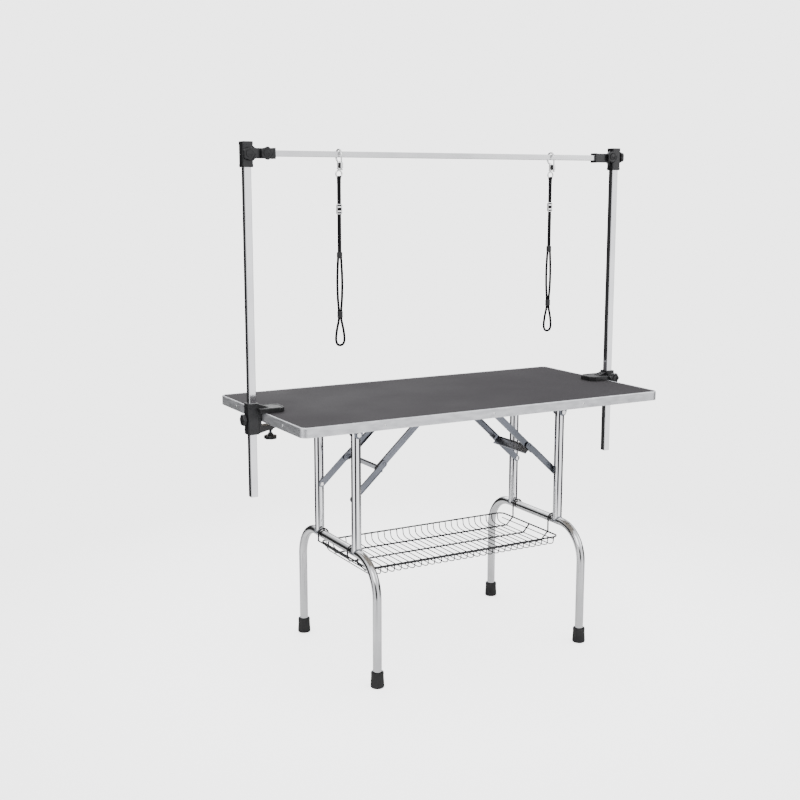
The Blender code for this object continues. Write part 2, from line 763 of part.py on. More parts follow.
def connector(side, sign):
    """The corner piece: a capped sleeve on the post and a socket for the bar."""
    name = "connector_" + side
    half = CORNER_SLEEVE / 2
    x = sign * POST_X
    low, high = BAR_Z - 0.0365, BAR_Z + 0.0305
    made = box(
        name, (x - half, POST_Y - half, low), (x + half, POST_Y + half, high),
        "black_plastic", corner=0.003, segments=2,
    )
    ends = sorted((sign * 0.531, sign * (POST_X - half + 0.004)))
    socket = box(
        name + "_socket", (ends[0], POST_Y - SOCKET_HALF, BAR_Z - SOCKET_HALF - 0.001),
        (ends[1], POST_Y + SOCKET_HALF, BAR_Z + SOCKET_HALF + 0.001),
    )
    join(made, socket)
    hole_half = POST_SIZE / 2 + SLIDE_FIT / 2
    post_hole = box(
        name + "_post_hole", (x - hole_half, POST_Y - hole_half, low - 0.01),
        (x + hole_half, POST_Y + hole_half, POST_TOP + 0.0005),
    )
    bar_half = BAR_SIZE / 2 + SLIDE_FIT / 2
    ends = sorted((sign * 0.52, sign * (POST_X - half + 0.0025)))
    bar_hole = box(
        name + "_bar_hole", (ends[0], POST_Y - bar_half, BAR_Z - bar_half),
        (ends[1], POST_Y + bar_half, BAR_Z + bar_half),
    )
    cut(made, post_hole, bar_hole)
    return made


def posts_and_bar():
    half = CORNER_SLEEVE / 2
    front = POST_Y - half
    socket_front = POST_Y - SOCKET_HALF
    slide_left = joint_axis("post_left_axis", (-POST_X, POST_Y, CLAMP_HIGH))
    slide_right = joint_axis("post_right_axis", (POST_X, POST_Y, CLAMP_HIGH))
    lift = joint_axis("overhead_axis", (0, POST_Y, BAR_Z), slide_left)
    for side, slide in (("left", slide_left), ("right", slide_right)):
        sign = SIDES[side]
        x = sign * POST_X
        post = square_tube(
            "post_" + side, (x, POST_Y, POST_BOTTOM), (x, POST_Y, POST_TOP), POST_SIZE, 0.0012,
            "Z", "chrome",
        )
        carry(slide, post)
    reach = POST_X - half + 0.002
    bar = square_tube(
        "overhead_bar", (-reach, POST_Y, BAR_Z), (reach, POST_Y, BAR_Z), BAR_SIZE, 0.0012,
        "X", "aluminium",
    )
    carry(lift, bar)
    wall = half - POST_SIZE / 2 - SLIDE_FIT / 2
    socket_wall = SOCKET_HALF - BAR_SIZE / 2 - SLIDE_FIT / 2
    knob_faces = {
        "left": {
            "post": ((-POST_X, front, BAR_Z - 0.002), "-Y", wall, 0.009),
            "bar": ((-0.560, socket_front, BAR_Z), "-Y", socket_wall, 0.009),
        },
        "right": {
            "post": ((POST_X + half, POST_Y, BAR_Z + 0.003), "+X", wall, 0.0135),
            "bar": ((0.588, socket_front, BAR_Z + 0.003), "-Y", socket_wall, 0.009),
        },
    }
    for side, sign in SIDES.items():
        body = connector(side, sign)
        carry(lift, body)
        for kind, (face, facing, depth, thick) in knob_faces[side].items():
            name = f"{kind}_knob_{side}"
            cut(body, screw_hole(name + "_hole", face, facing[1], depth + 0.001))
            axis = joint_axis(name + "_axis", face, lift)
            carry(axis, hand_knob(name, face, facing, KNOB_RADIUS, thick, depth - GAP))
    clamp_half = SLEEVE / 2
    clamp_wall = clamp_half - POST_SIZE / 2 - SLIDE_FIT / 2
    clamp_faces = {
        "left": ((-POST_X - clamp_half, POST_Y, 0.741), "-X", KNOB_STAND),
        "right": ((POST_X - 0.0055, POST_Y - clamp_half, 0.766), "-Y", 0.0215),
    }
    for side, sign in SIDES.items():
        body = clamp(side, sign)
        face, facing, stand = clamp_faces[side]
        name = "clamp_knob_" + side
        cut(body, screw_hole(name + "_hole", face, facing[1], clamp_wall + 0.001))
        axis = joint_axis(name + "_axis", face)
        carry(axis, hand_knob(name, face, facing, 0.0170, 0.012, clamp_wall - GAP, 6, stand))
        screw_axis = joint_axis(f"clamp_screw_{side}_axis", (sign * SCREW_X, POST_Y, LOWER_JAW_TOP))
        carry(screw_axis, clamp_screw(side, sign))
    return lift


# ----------------------------------------------------------------- leashes

HOOK_CENTRE_Z = BAR_Z - 0.003
HOOK_RADIUS = 0.0165
EYE_Z = BAR_Z - 0.052
EYE_RADIUS = 0.009
STRAP_TOP = EYE_Z - EYE_RADIUS - 0.0025
STRAP_BOTTOM = 1.178
ADJUSTER_Z = 1.3028


def smooth_curve(route, steps):
    """Points on a smooth curve through the route's points (a Catmull-Rom spline)."""
    ends = [route[0], *route, route[-1]]
    points = []
    for a, b, c, d in zip(ends, ends[1:], ends[2:], ends[3:]):
        for k in range(steps):
            t = k / steps
            points.append(tuple(
                0.5 * (2 * q + (r - p) * t + (2 * p - 5 * q + 4 * r - s) * t * t
                       + (3 * q - p - 3 * r + s) * t ** 3)
                for p, q, r, s in zip(a, b, c, d)
            ))
    return [*points, route[-1]]


# The loop's right half, from where the strap ends to the bottom: half width and height
LOOP_ROUTE = [
    (0.0038, STRAP_BOTTOM - 0.0005),
    (0.0058, 1.150),
    (0.0075, 1.105),
    (0.0064, 1.060),
    (0.0038, 1.026),
    (0.0038, 1.000),
    (0.0105, 0.968),
    (0.0130, 0.943),
    (0.0085, 0.930),
    (0.0000, 0.9265),
]


def bolt_snap(name, x):
    """The snap's hook over the bar, with its barrel and the bolt's housing."""
    hook = [(x, y, z) for y, z in arc((POST_Y, HOOK_CENTRE_Z), HOOK_RADIUS, -90, 180, 10)]
    made = tube(name, hook, 0.0025, "chrome", resolution=1)
    front = POST_Y - HOOK_RADIUS
    barrel = cylinder(name + "_barrel", (x, POST_Y, BAR_Z - 0.030), 0.005, 0.020, sides=12)
    housing = box(
        name + "_housing", (x - 0.0045, front - 0.0045, BAR_Z - 0.038),
        (x + 0.0045, POST_Y - 0.002, BAR_Z - 0.021), corner=0.0015, segments=2,
    )
    bore = cylinder(name + "_bore", (x, front, BAR_Z - 0.030), 0.0023, 0.03, sides=8)
    socket = cylinder(name + "_socket", (x, POST_Y, BAR_Z - 0.040), 0.0023, 0.016, sides=8)
    join(made, barrel, housing)
    cut(made, bore, socket)
    return made


def snap_bolt(name, x):
    """The sliding bolt that closes the hook, with a thumb tab under its housing."""
    front = POST_Y - HOOK_RADIUS
    top, low = HOOK_CENTRE_Z - 0.0004, BAR_Z - 0.041
    made = cylinder(name, (x, front, (top + low) / 2), 0.0020, top - low, "chrome", sides=8)
    tab = cylinder(name + "_tab", (x, front, low), 0.0035, 0.003, sides=10)
    join(made, tab)
    return made


def swivel_eye(name, x):
    """The ring under the snap, on a stem that turns in the barrel."""
    ring = [(x + u, POST_Y, v) for u, v in arc((0, EYE_Z), EYE_RADIUS, 0, 337.5, 15)]
    made = tube(name, ring, 0.0020, "chrome", resolution=1, closed=True)
    stem = cylinder(
        name + "_stem", (x, POST_Y, EYE_Z + EYE_RADIUS + 0.003), 0.0020, 0.008, sides=12
    )
    join(made, stem)
    return made


def leash(side, lift):
    x = LEASH_X[side]
    snap_axis = joint_axis(f"bolt_snap_{side}_axis", (x, POST_Y, BAR_Z), lift)
    carry(snap_axis, bolt_snap("bolt_snap_" + side, x))
    bolt_axis = joint_axis(
        f"snap_bolt_{side}_axis", (x, POST_Y - HOOK_RADIUS, HOOK_CENTRE_Z), snap_axis
    )
    carry(bolt_axis, snap_bolt("snap_bolt_" + side, x))
    eye_axis = joint_axis(f"swivel_eye_{side}_axis", (x, POST_Y, EYE_Z), snap_axis)
    carry(eye_axis, swivel_eye("swivel_eye_" + side, x))
    strap_axis = joint_axis(
        f"leash_{side}_axis", (x, POST_Y, EYE_Z - EYE_RADIUS), eye_axis
    )
    strap = box(
        "leash_strap_" + side, (x - STRAP_HALF_WIDTH, POST_Y - 0.0015, STRAP_BOTTOM + GAP),
        (x + STRAP_HALF_WIDTH, POST_Y + 0.0015, STRAP_TOP), "nylon",
    )
    adjuster = box(
        "leash_adjuster_" + side, (x - 0.0080, POST_Y - 0.0035, ADJUSTER_Z - 0.014),
        (x + 0.0080, POST_Y + 0.0035, ADJUSTER_Z + 0.014), "chrome", corner=0.001, segments=2,
    )
    cut(adjuster, box(
        f"leash_adjuster_{side}_slot", (x - STRAP_HALF_WIDTH - 0.0004, POST_Y - 0.0019, ADJUSTER_Z - 0.03),
        (x + STRAP_HALF_WIDTH + 0.0004, POST_Y + 0.0019, ADJUSTER_Z + 0.03),
    ))
    half = smooth_curve(LOOP_ROUTE, 2)
    line = [*half, *[(-u, v) for u, v in reversed(half[:-1])]]
    loop = tube(
        "leash_loop_" + side, [(x + u, POST_Y, v) for u, v in line], LOOP_RADIUS, "nylon"
    )
    carry(strap_axis, strap, adjuster, loop)


tabletop()
for side_name, side_sign in SIDES.items():
    leg_side(side_name, side_sign)
basket()
overhead_lift = posts_and_bar()
for side_name in SIDES:
    leash(side_name, overhead_lift)
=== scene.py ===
"""Looks for the folding grooming table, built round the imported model.

Everything is in metres in the model's own frame: X along the table, -Y at the front, +Z up.
"""

import math

import bmesh
import bpy
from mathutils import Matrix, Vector
from mathutils.noise import noise as random_field


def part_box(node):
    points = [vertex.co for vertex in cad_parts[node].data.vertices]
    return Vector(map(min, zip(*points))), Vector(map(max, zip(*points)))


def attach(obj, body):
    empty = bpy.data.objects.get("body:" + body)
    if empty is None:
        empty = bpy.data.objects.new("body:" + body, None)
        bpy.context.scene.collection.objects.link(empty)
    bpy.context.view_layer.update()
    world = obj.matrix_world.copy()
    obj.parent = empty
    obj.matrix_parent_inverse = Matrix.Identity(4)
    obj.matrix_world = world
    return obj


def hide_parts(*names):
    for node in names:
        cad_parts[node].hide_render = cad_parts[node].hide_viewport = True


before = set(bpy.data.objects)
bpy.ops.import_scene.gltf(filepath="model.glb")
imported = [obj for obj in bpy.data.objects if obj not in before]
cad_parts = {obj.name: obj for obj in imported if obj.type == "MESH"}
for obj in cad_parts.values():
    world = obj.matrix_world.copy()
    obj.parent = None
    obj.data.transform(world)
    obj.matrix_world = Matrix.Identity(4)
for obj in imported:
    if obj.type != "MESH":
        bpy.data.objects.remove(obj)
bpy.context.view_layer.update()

SIDES = {"left": -1, "right": 1}
ENDS = {"front": -1, "back": 1}


# --------------------------------------------------------------- camera, light

CAMERA_PLACE = (-1.8148, -3.0020, 1.3641)
CAMERA_TURN = -29.15
CAMERA_TILT = 10.11
CAMERA_LENS = 53.9


def make_camera():
    turn, tilt = math.radians(CAMERA_TURN), math.radians(CAMERA_TILT)
    ahead = Vector((-math.sin(turn), math.cos(turn), 0)) * math.cos(tilt)
    ahead.z = -math.sin(tilt)
    data = bpy.data.cameras.new("camera")
    data.lens = CAMERA_LENS
    data.sensor_width = 36.0
    made = bpy.data.objects.new("camera", data)
    made.location = CAMERA_PLACE
    made.rotation_euler = ahead.to_track_quat("-Z", "Y").to_euler()
    bpy.context.scene.collection.objects.link(made)
    bpy.context.scene.camera = made


def area_light(name, place, target, size, power):
    data = bpy.data.lights.new(name, "AREA")
    data.shape = "RECTANGLE"
    data.size, data.size_y = size
    data.energy = power
    made = bpy.data.objects.new(name, data)
    made.location = place
    made.rotation_euler = (Vector(target) - Vector(place)).to_track_quat("-Z", "Y").to_euler()
    bpy.context.scene.collection.objects.link(made)


# How bright the studio is round the table, by share of a full turn: two soft boxes beside the
# camera, a dim one behind the table, and dark gaps between them
STUDIO_RING = (
    (0.000, 0.95), (0.078, 0.95), (0.094, 0.02), (0.194, 0.02), (0.210, 0.95), (0.366, 0.95),
    (0.386, 0.02), (0.597, 0.02), (0.615, 0.35), (0.720, 0.35), (0.742, 0.02), (0.944, 0.02),
    (0.960, 0.95),
)
WORLD_STRENGTH = 2.0
PAPER_WHITE = 3.6
PAPER_GLOW = 2.5


def studio():
    """A pale world. Only its reflections have dark gaps between the soft boxes."""
    world = bpy.data.worlds.new("studio")
    bpy.context.scene.world = world
    world.use_nodes = True
    tree = world.node_tree
    tree.nodes.clear()
    new, link = tree.nodes.new, tree.links.new
    coords = new("ShaderNodeTexCoord")
    round_z = new("ShaderNodeTexGradient")
    round_z.gradient_type = "RADIAL"
    link(coords.outputs["Generated"], round_z.inputs["Vector"])
    boxes = new("ShaderNodeValToRGB")
    boxes.color_ramp.interpolation = "EASE"
    elements = boxes.color_ramp.elements
    elements[1].position = STUDIO_RING[-1][0]
    for position, _ in STUDIO_RING[1:-1]:
        elements.new(position)
    for element, (_, level) in zip(elements, STUDIO_RING):
        element.color = (level, level, level * 1.02, 1)
    link(round_z.outputs["Fac"], boxes.inputs["Fac"])
    split = new("ShaderNodeSeparateXYZ")
    link(coords.outputs["Generated"], split.inputs["Vector"])
    height = new("ShaderNodeMapRange")
    height.inputs["From Min"].default_value = 0.25
    height.inputs["From Max"].default_value = 0.55
    link(split.outputs["Z"], height.inputs["Value"])
    roof = new("ShaderNodeMix")
    roof.data_type = "RGBA"
    roof.inputs["B"].default_value = (0.92, 0.93, 0.95, 1)
    link(height.outputs["Result"], roof.inputs["Factor"])
    link(boxes.outputs["Color"], roof.inputs["A"])
    light_path = new("ShaderNodeLightPath")
    seen = new("ShaderNodeMix")
    seen.data_type = "RGBA"
    seen.inputs["B"].default_value = (*[PAPER_WHITE / WORLD_STRENGTH] * 3, 1)
    link(light_path.outputs["Is Camera Ray"], seen.inputs["Factor"])
    link(roof.outputs["Result"], seen.inputs["A"])
    background = new("ShaderNodeBackground")
    background.inputs["Strength"].default_value = WORLD_STRENGTH
    link(seen.outputs["Result"], background.inputs["Color"])
    out = new("ShaderNodeOutputWorld")
    link(background.outputs["Background"], out.inputs["Surface"])


make_camera()
studio()
area_light("key", (-2.2, -2.6, 3.2), (0, 0, 0.8), (2.4, 2.4), 70)
area_light("fill", (2.8, -2.0, 2.4), (0, 0, 0.7), (2.0, 2.0), 30)
area_light("rim", (0.6, 3.0, 2.6), (0, 0, 0.8), (2.0, 1.5), 30)


# ----------------------------------------------------------------------- looks

class Look:
    """A procedural material: a Principled shader and the textures that feed it."""

    def __init__(self, name, **values):
        self.material = bpy.data.materials.new(name)
        self.material.use_nodes = True
        self.tree = self.material.node_tree
        self.shader = self.tree.nodes["Principled BSDF"]
        for socket, value in values.items():
            self.shader.inputs[socket.replace("_", " ")].default_value = value
        self.places = {}
        self.last_bump = None

    def node(self, kind, values=None, **links):
        made = self.tree.nodes.new(kind)
        for socket, value in (values or {}).items():
            made.inputs[socket].default_value = value
        for socket, source in links.items():
            self.tree.links.new(source, made.inputs[socket])
        return made

    def place(self, stretch=(1, 1, 1)):
        """Object coordinates in metres, scaled by stretch."""
        if stretch not in self.places:
            coords = self.node("ShaderNodeTexCoord")
            mapping = self.node(
                "ShaderNodeMapping", {"Scale": stretch}, Vector=coords.outputs["Object"]
            )
            self.places[stretch] = mapping.outputs["Vector"]
        return self.places[stretch]

    def noise(self, scale, detail=3.0, stretch=(1, 1, 1), roughness=0.5):
        values = {"Scale": scale, "Detail": detail, "Roughness": roughness}
        return self.node("ShaderNodeTexNoise", values, Vector=self.place(stretch)).outputs["Fac"]

    def cells(self, scale):
        values = {"Scale": scale}
        return self.node("ShaderNodeTexVoronoi", values, Vector=self.place()).outputs["Distance"]

    def bands(self, scale, direction, distortion=0.0, stretch=(1, 1, 1)):
        values = {"Scale": scale, "Distortion": distortion, "Detail": 2.0}
        made = self.node("ShaderNodeTexWave", values, Vector=self.place(stretch))
        made.bands_direction = direction
        return made.outputs["Fac"]

    def span(self, source, low, high, start=0.3, stop=0.7):
        """source, moved from start..stop to low..high."""
        values = {"From Min": start, "From Max": stop, "To Min": low, "To Max": high}
        return self.node("ShaderNodeMapRange", values, Value=source).outputs["Result"]

    def mix(self, source, first, second):
        """A colour between two others by source."""
        made = self.node("ShaderNodeMix")
        made.data_type = "RGBA"
        self.tree.links.new(source, made.inputs["Factor"])
        for slot, colour in (("A", first), ("B", second)):
            if isinstance(colour, tuple):
                made.inputs[slot].default_value = (*colour, 1)
            else:
                self.tree.links.new(colour, made.inputs[slot])
        return made.outputs["Result"]

    def product(self, a, b, operation="MULTIPLY"):
        made = self.node("ShaderNodeMath")
        made.operation = operation
        self.tree.links.new(a, made.inputs[0])
        self.tree.links.new(b, made.inputs[1])
        return made.outputs["Value"]

    def colour(self, source):
        self.tree.links.new(source, self.shader.inputs["Base Color"])

    def roughness(self, source):
        self.tree.links.new(source, self.shader.inputs["Roughness"])

    def bump(self, source, distance, strength=1.0):
        values = {"Distance": distance, "Strength": strength}
        made = self.node("ShaderNodeBump", values, Height=source)
        if self.last_bump:
            self.tree.links.new(self.last_bump, made.inputs["Normal"])
        self.last_bump = made.outputs["Normal"]
        self.tree.links.new(self.last_bump, self.shader.inputs["Normal"])


def plated(name, dark, light, rough, stretch, ripple=0.000005):
    """Bare or plated metal: a faint cloudy tone, polishing lines along one way and a smear."""
    look = Look(name, Metallic=1.0)
    cloud = look.noise(9.0, 3.0)
    lines = look.noise(90.0, 2.0, stretch)
    look.colour(look.mix(look.span(cloud, 0, 1), dark, light))
    low, high = rough
    look.roughness(look.span(look.product(cloud, lines, "ADD"), low, high, 0.7, 1.3))
    look.bump(lines, ripple)
    return look.material


def moulded(name, dark, light, rough, grain, depth, coat=0.0):
    """Moulded plastic or rubber: fine grain, slight tone change and dust-dulled patches."""
    look = Look(name, Coat_Weight=coat, Coat_Roughness=0.25, Specular_IOR_Level=0.25)
    cloud = look.noise(22.0, 4.0)
    fine = look.noise(grain, 2.0)
    look.colour(look.mix(look.span(cloud, 0, 1), dark, light))
    look.roughness(look.span(cloud, *rough))
    look.bump(fine, depth)
    return look.material


def mat_look():
    """The rubber top: a pebbled skin with faint scuffs."""
    look = Look("rubber_top", Specular_IOR_Level=0.12)
    cloud = look.noise(3.2, 5.0)
    pebbles = look.cells(420.0)
    speck = look.noise(700.0, 2.0)
    scuffs = look.span(look.noise(14.0, 6.0, (1, 5, 1), 0.7), 0, 1, 0.60, 0.78)
    base = look.mix(look.span(cloud, 0, 1), (0.026, 0.0235, 0.026), (0.031, 0.028, 0.0305))
    grained = look.mix(look.span(speck, 0, 0.5, 0.45, 0.75), base, (0.050, 0.046, 0.049))
    look.colour(look.mix(look.span(scuffs, 0, 0.25, 0, 1), grained, (0.066, 0.062, 0.065)))
    look.roughness(look.span(cloud, 0.62, 0.78))
    look.bump(pebbles, 0.00022, 0.8)
    look.bump(speck, 0.00006, 0.5)
    return look.material


def wood_look():
    """The board's underside: pale rotary-cut plywood."""
    look = Look("plywood")
    grain = look.bands(1.6, "Y", 6.0, (0.6, 9, 9))
    fine = look.noise(60.0, 4.0, (0.12, 3, 3))
    pores = look.noise(240.0, 2.0, (0.08, 2, 2))
    base = look.mix(look.span(grain, 0, 1, 0, 1), (0.47, 0.42, 0.36), (0.60, 0.55, 0.48))
    look.colour(look.mix(look.span(fine, 0, 0.6), base, (0.40, 0.35, 0.30)))
    look.roughness(look.span(fine, 0.55, 0.75))
    look.bump(pores, 0.00012)
    return look.material


def edge_look():
    """Drawn aluminium: lines along the band, and a dulled cloudy skin."""
    look = Look("edge_aluminium", Metallic=0.85)
    cloud = look.noise(28.0, 5.0, (1, 1, 3))
    drawn = look.noise(55.0, 3.0, (0.15, 0.15, 30))
    look.colour(look.mix(look.span(cloud, 0, 1), (0.50, 0.505, 0.52), (0.70, 0.705, 0.72)))
    look.roughness(look.span(drawn, 0.36, 0.52))
    look.bump(drawn, 0.00005)
    return look.material


def web_look(name, pitch):
    """Woven nylon: a twill of fine ribs with a light sheen."""
    look = Look(name, Roughness=0.8, Sheen_Weight=0.03, Sheen_Roughness=0.4,
                Specular_IOR_Level=0.08)
    warp = look.bands(pitch, "DIAGONAL", 0.4)
    weft = look.bands(pitch, "X", 0.2, (1, -1, 1.0))
    fuzz = look.noise(900.0, 3.0)
    weave = look.product(warp, weft)
    tone = look.mix(look.span(weave, 0, 1, 0, 0.8), (0.0025, 0.0025, 0.003), (0.007, 0.007, 0.0075))
    look.colour(look.mix(look.span(fuzz, 0, 0.4), tone, (0.012, 0.012, 0.013)))
    look.bump(weave, 0.0003, 0.7)
    look.bump(fuzz, 0.00006, 0.4)
    return look.material


UP = (8, 8, 0.25)
ALONG = (0.25, 8, 8)
LOOKS = {
    "rubber_top": mat_look(),
    "board": wood_look(),
    "edge": edge_look(),
    "upright": plated("chrome_upright", (0.84, 0.845, 0.86), (0.93, 0.93, 0.94), (0.012, 0.035), UP),
    "lower": plated("chrome_lower", (0.46, 0.46, 0.465), (0.60, 0.60, 0.605), (0.10, 0.20), (3, 3, 3)),
    "post": plated("polished_post", (0.78, 0.78, 0.80), (0.90, 0.90, 0.91), (0.05, 0.10), UP),
    "bar": plated("satin_bar", (0.60, 0.605, 0.61), (0.72, 0.725, 0.73), (0.24, 0.36), ALONG),
    "zinc": plated("zinc_plate", (0.10, 0.107, 0.122), (0.20, 0.21, 0.24), (0.24, 0.40), (3, 3, 3),
                   3e-5),
    "bright": plated("bright_nickel", (0.74, 0.74, 0.74), (0.90, 0.90, 0.89), (0.08, 0.20), (3, 3, 3)),
    "plastic": moulded("black_nylon", (0.006, 0.006, 0.0065), (0.016, 0.016, 0.017), (0.26, 0.42),
                       900.0, 0.00008, 0.25),
    "grip": moulded("black_grip", (0.005, 0.005, 0.0055), (0.013, 0.013, 0.014), (0.30, 0.46),
                    700.0, 0.00012, 0.15),
    "rubber": moulded("foot_rubber", (0.008, 0.008, 0.0085), (0.022, 0.0215, 0.0215), (0.60, 0.82),
                      500.0, 0.00018),
    "wire": moulded("coated_wire", (0.005, 0.005, 0.006), (0.012, 0.012, 0.013), (0.34, 0.50),
                    380.0, 0.00005, 0.08),
    "strap": web_look("nylon_webbing", 190.0),
    "cord": web_look("braided_cord", 260.0),
    "thread": moulded("stitching", (0.012, 0.012, 0.013), (0.026, 0.026, 0.027), (0.7, 0.8),
                      900.0, 0.0001),
}


# ---------------------------------------------------------------------- shapes

def arc(centre, radius, start, end, steps):
    angles = [math.radians(start + (end - start) * k / steps) for k in range(steps + 1)]
    return [(centre[0] + radius * math.cos(a), centre[1] + radius * math.sin(a)) for a in angles]


def circle(radius, sides):
    return arc((0, 0), radius, 0, 360, sides)[:-1]


def rounded(half_u, half_v, radius, steps):
    """A rectangle's outline with rounded corners, anticlockwise round the origin."""
    u, v = half_u - radius, half_v - radius
    corners = ((u, v, 0), (-u, v, 90), (-u, -v, 180), (u, -v, 270))
    return [p for a, b, turn in corners for p in arc((a, b), radius, turn, turn + 90, steps)]


def fillet(points, radius, steps):
    """The route through points, given as vectors, with its inner corners rounded."""
    points = [Vector(p) for p in points]
    route = [points[0]]
    for before, corner, after in zip(points, points[1:], points[2:]):
        back, on = (before - corner).normalized(), (after - corner).normalized()
        reach = min(radius, (before - corner).length * 0.45, (after - corner).length * 0.45)
        start, stop = corner + back * reach, corner + on * reach
        for k in range(steps + 1):
            t = k / steps
            route.append(start * (1 - t) ** 2 + corner * 2 * t * (1 - t) + stop * t ** 2)
    return [*route, points[-1]]


PLANES = {
    "X": lambda u, v, w: (w, u, v),
    "Y": lambda u, v, w: (u, w, v),
    "Z": lambda u, v, w: (u, v, w),
}


class Piece:
    """One physical piece, gathered from skins in a single mesh."""

    def __init__(self):
        self.shape = bmesh.new()

    def skin(self, rings, closed=False):
        """Joins rings of points into a skin, with caps on its ends unless it is closed."""
        rows = [[self.shape.verts.new(p) for p in ring] for ring in rings]
        faces = []
        pairs = list(zip(rows, rows[1:])) + ([(rows[-1], rows[0])] if closed else [])
        for low, high in pairs:
            for k, corner in enumerate(low):
                after = (k + 1) % len(low)
                faces.append(self.shape.faces.new((corner, low[after], high[after], high[k])))
        if not closed:
            faces.append(self.shape.faces.new(rows[0][::-1]))
            faces.append(self.shape.faces.new(rows[-1]))
        return faces

    def turned(self, profile, at, axis="Z", steps=32, facing=1):
        """A turned part: profile is (radius, height) along the axis from the point at."""
        at = Vector(at)
        rings = []
        for radius, height in profile:
            ring = circle(max(radius, 1e-5), steps)
            rings.append([at + Vector(PLANES[axis](u, v, facing * height)) for u, v in ring])
        self.skin(rings)

    def lobed(self, profile, at, axis, facing, lobes, depth):
        """A hand knob's head: like turned, with finger lobes that fade towards the axis."""
        at, widest = Vector(at), max(radius for radius, _ in profile)
        rings = []
        for radius, height in profile:
            ring = []
            for u, v in circle(max(radius, 1e-5), 14 * lobes):
                wave = math.cos(lobes * math.atan2(v, u))
                scale = 1 - depth * (radius / widest) ** 2 * (1 - wave)
                ring.append(at + Vector(PLANES[axis](u * scale, v * scale, facing * height)))
            rings.append(ring)
        self.skin(rings)

    def block(self, outline, low, high, axis="Y", bevel=0.0005, steps=2):
        """A flat outline made solid from low to high along the axis, with softened edges."""
        rings = [[Vector(PLANES[axis](u, v, w)) for u, v in outline] for w in (low, high)]
        faces = self.skin(rings)
        self.shape.normal_update()
        edges = dict.fromkeys(
            e for f in faces for e in f.edges
            if len(e.link_faces) == 2 and e.calc_face_angle() > math.radians(28)
        )
        if bevel:
            bmesh.ops.bevel(
                self.shape, geom=list(edges), offset=bevel, segments=steps, profile=0.6,
                affect="EDGES", clamp_overlap=True,
            )

    def box(self, low, high, bevel=0.0006, steps=2):
        (a, b, c), (d, e, f) = low, high
        self.block([(a, b), (d, b), (d, e), (a, e)], c, f, "Z", bevel, steps)

    def sweep(self, points, section, normal, closed=False, hollow=None):
        """Carries a section, as offsets along normal and across it, along a flat route."""
        points = [Vector(p) for p in points]
        normal = Vector(normal).normalized()
        rings, inner = [], []
        for k, point in enumerate(points):
            before = points[k - 1] if k or closed else point
            after = points[(k + 1) % len(points)] if k < len(points) - 1 or closed else point
            side = normal.cross(after - before).normalized()
            rings.append([point + normal * u + side * v for u, v in section])
            if hollow:
                inner.append([point + normal * u + side * v for u, v in hollow])
        if hollow:
            self.skin(rings + inner[::-1], closed=True)
        else:
            self.skin(rings, closed)

    def beads(self, points, radius):
        """Small lumps of weld along a line."""
        for k, point in enumerate(points):
            size = radius * (1 + 0.25 * random_field(Vector(point) * 400 + Vector((k, 0, 0))))
            made = bmesh.ops.create_icosphere(self.shape, subdivisions=2, radius=size)
            bmesh.ops.translate(self.shape, vec=point, verts=made["verts"])

    def make(self, name, look, body, *nodes):
        """Finish the piece: its mesh, its look, the body it rides on and what it stands for."""
        bmesh.ops.recalc_face_normals(self.shape, faces=self.shape.faces)
        mesh = bpy.data.meshes.new(name)
        self.shape.to_mesh(mesh)
        self.shape.free()
        mesh.shade_smooth()
        mesh.set_sharp_from_angle(angle=math.radians(38))
        made = bpy.data.objects.new(name, mesh)
        bpy.context.scene.collection.objects.link(made)
        mesh.materials.append(LOOKS[look])
        flatter = made.modifiers.new("flatter", "WEIGHTED_NORMAL")
        flatter.keep_sharp = True
        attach(made, body)
        if nodes:
            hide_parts(*nodes)
        return made


def centre(node):
    low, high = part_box(node)
    return (low + high) / 2


def hexagon(radius):
    return arc((0, 0), radius, 30, 390, 6)[:-1]


DOME = ((1.0, 0.0), (1.0, 0.25), (0.92, 0.55), (0.72, 0.82), (0.40, 0.96), (0.0, 1.0))


def rivet(piece, at, axis, facing, radius, height):
    """A domed rivet head or screw head that stands out from the point at."""
    profile = [(radius * 0.98, -0.0004), *[(radius * r, height * h) for r, h in DOME]]
    piece.turned(profile, at, axis, 24, facing)


def cross_screw(piece, at, axis, facing, radius, height):
    """A pan head with a cross on it, made as two crossed bars that stand a little proud of the dome.
    """
    at = Vector(at)
    rivet(piece, at, axis, facing, radius, height)
    arm, thick = radius * 0.52, radius * 0.12
    for half_u, half_v in ((arm, thick), (thick, arm)):
        outline = [(-half_u, -half_v), (half_u, -half_v), (half_u, half_v), (-half_u, half_v)]
        rings = []
        for w in (height * 0.7, height * 1.02):
            rings.append([at + Vector(PLANES[axis](u, v, facing * w)) for u, v in outline])
        piece.skin(rings)


# -------------------------------------------------------------------- tabletop

LIP = 0.0010
CORNER_RADIUS = 0.020


def slab_rings(node, inset, steps):
    """Rings of a rounded plate over a node's box, with a softened top edge."""
    low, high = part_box(node)
    half_x, half_y = high.x, high.y
    radius = CORNER_RADIUS - (0.585 - half_x)
    rings = []
    for z, step in ((low.z, 0), (high.z - 0.0008, 0), (high.z - 0.0002, 0.0003), (high.z, 0.0009)):
        d = inset + step
        rings.append([(u, v, z) for u, v in rounded(half_x - d, half_y - d, radius - d, steps)])
    return rings


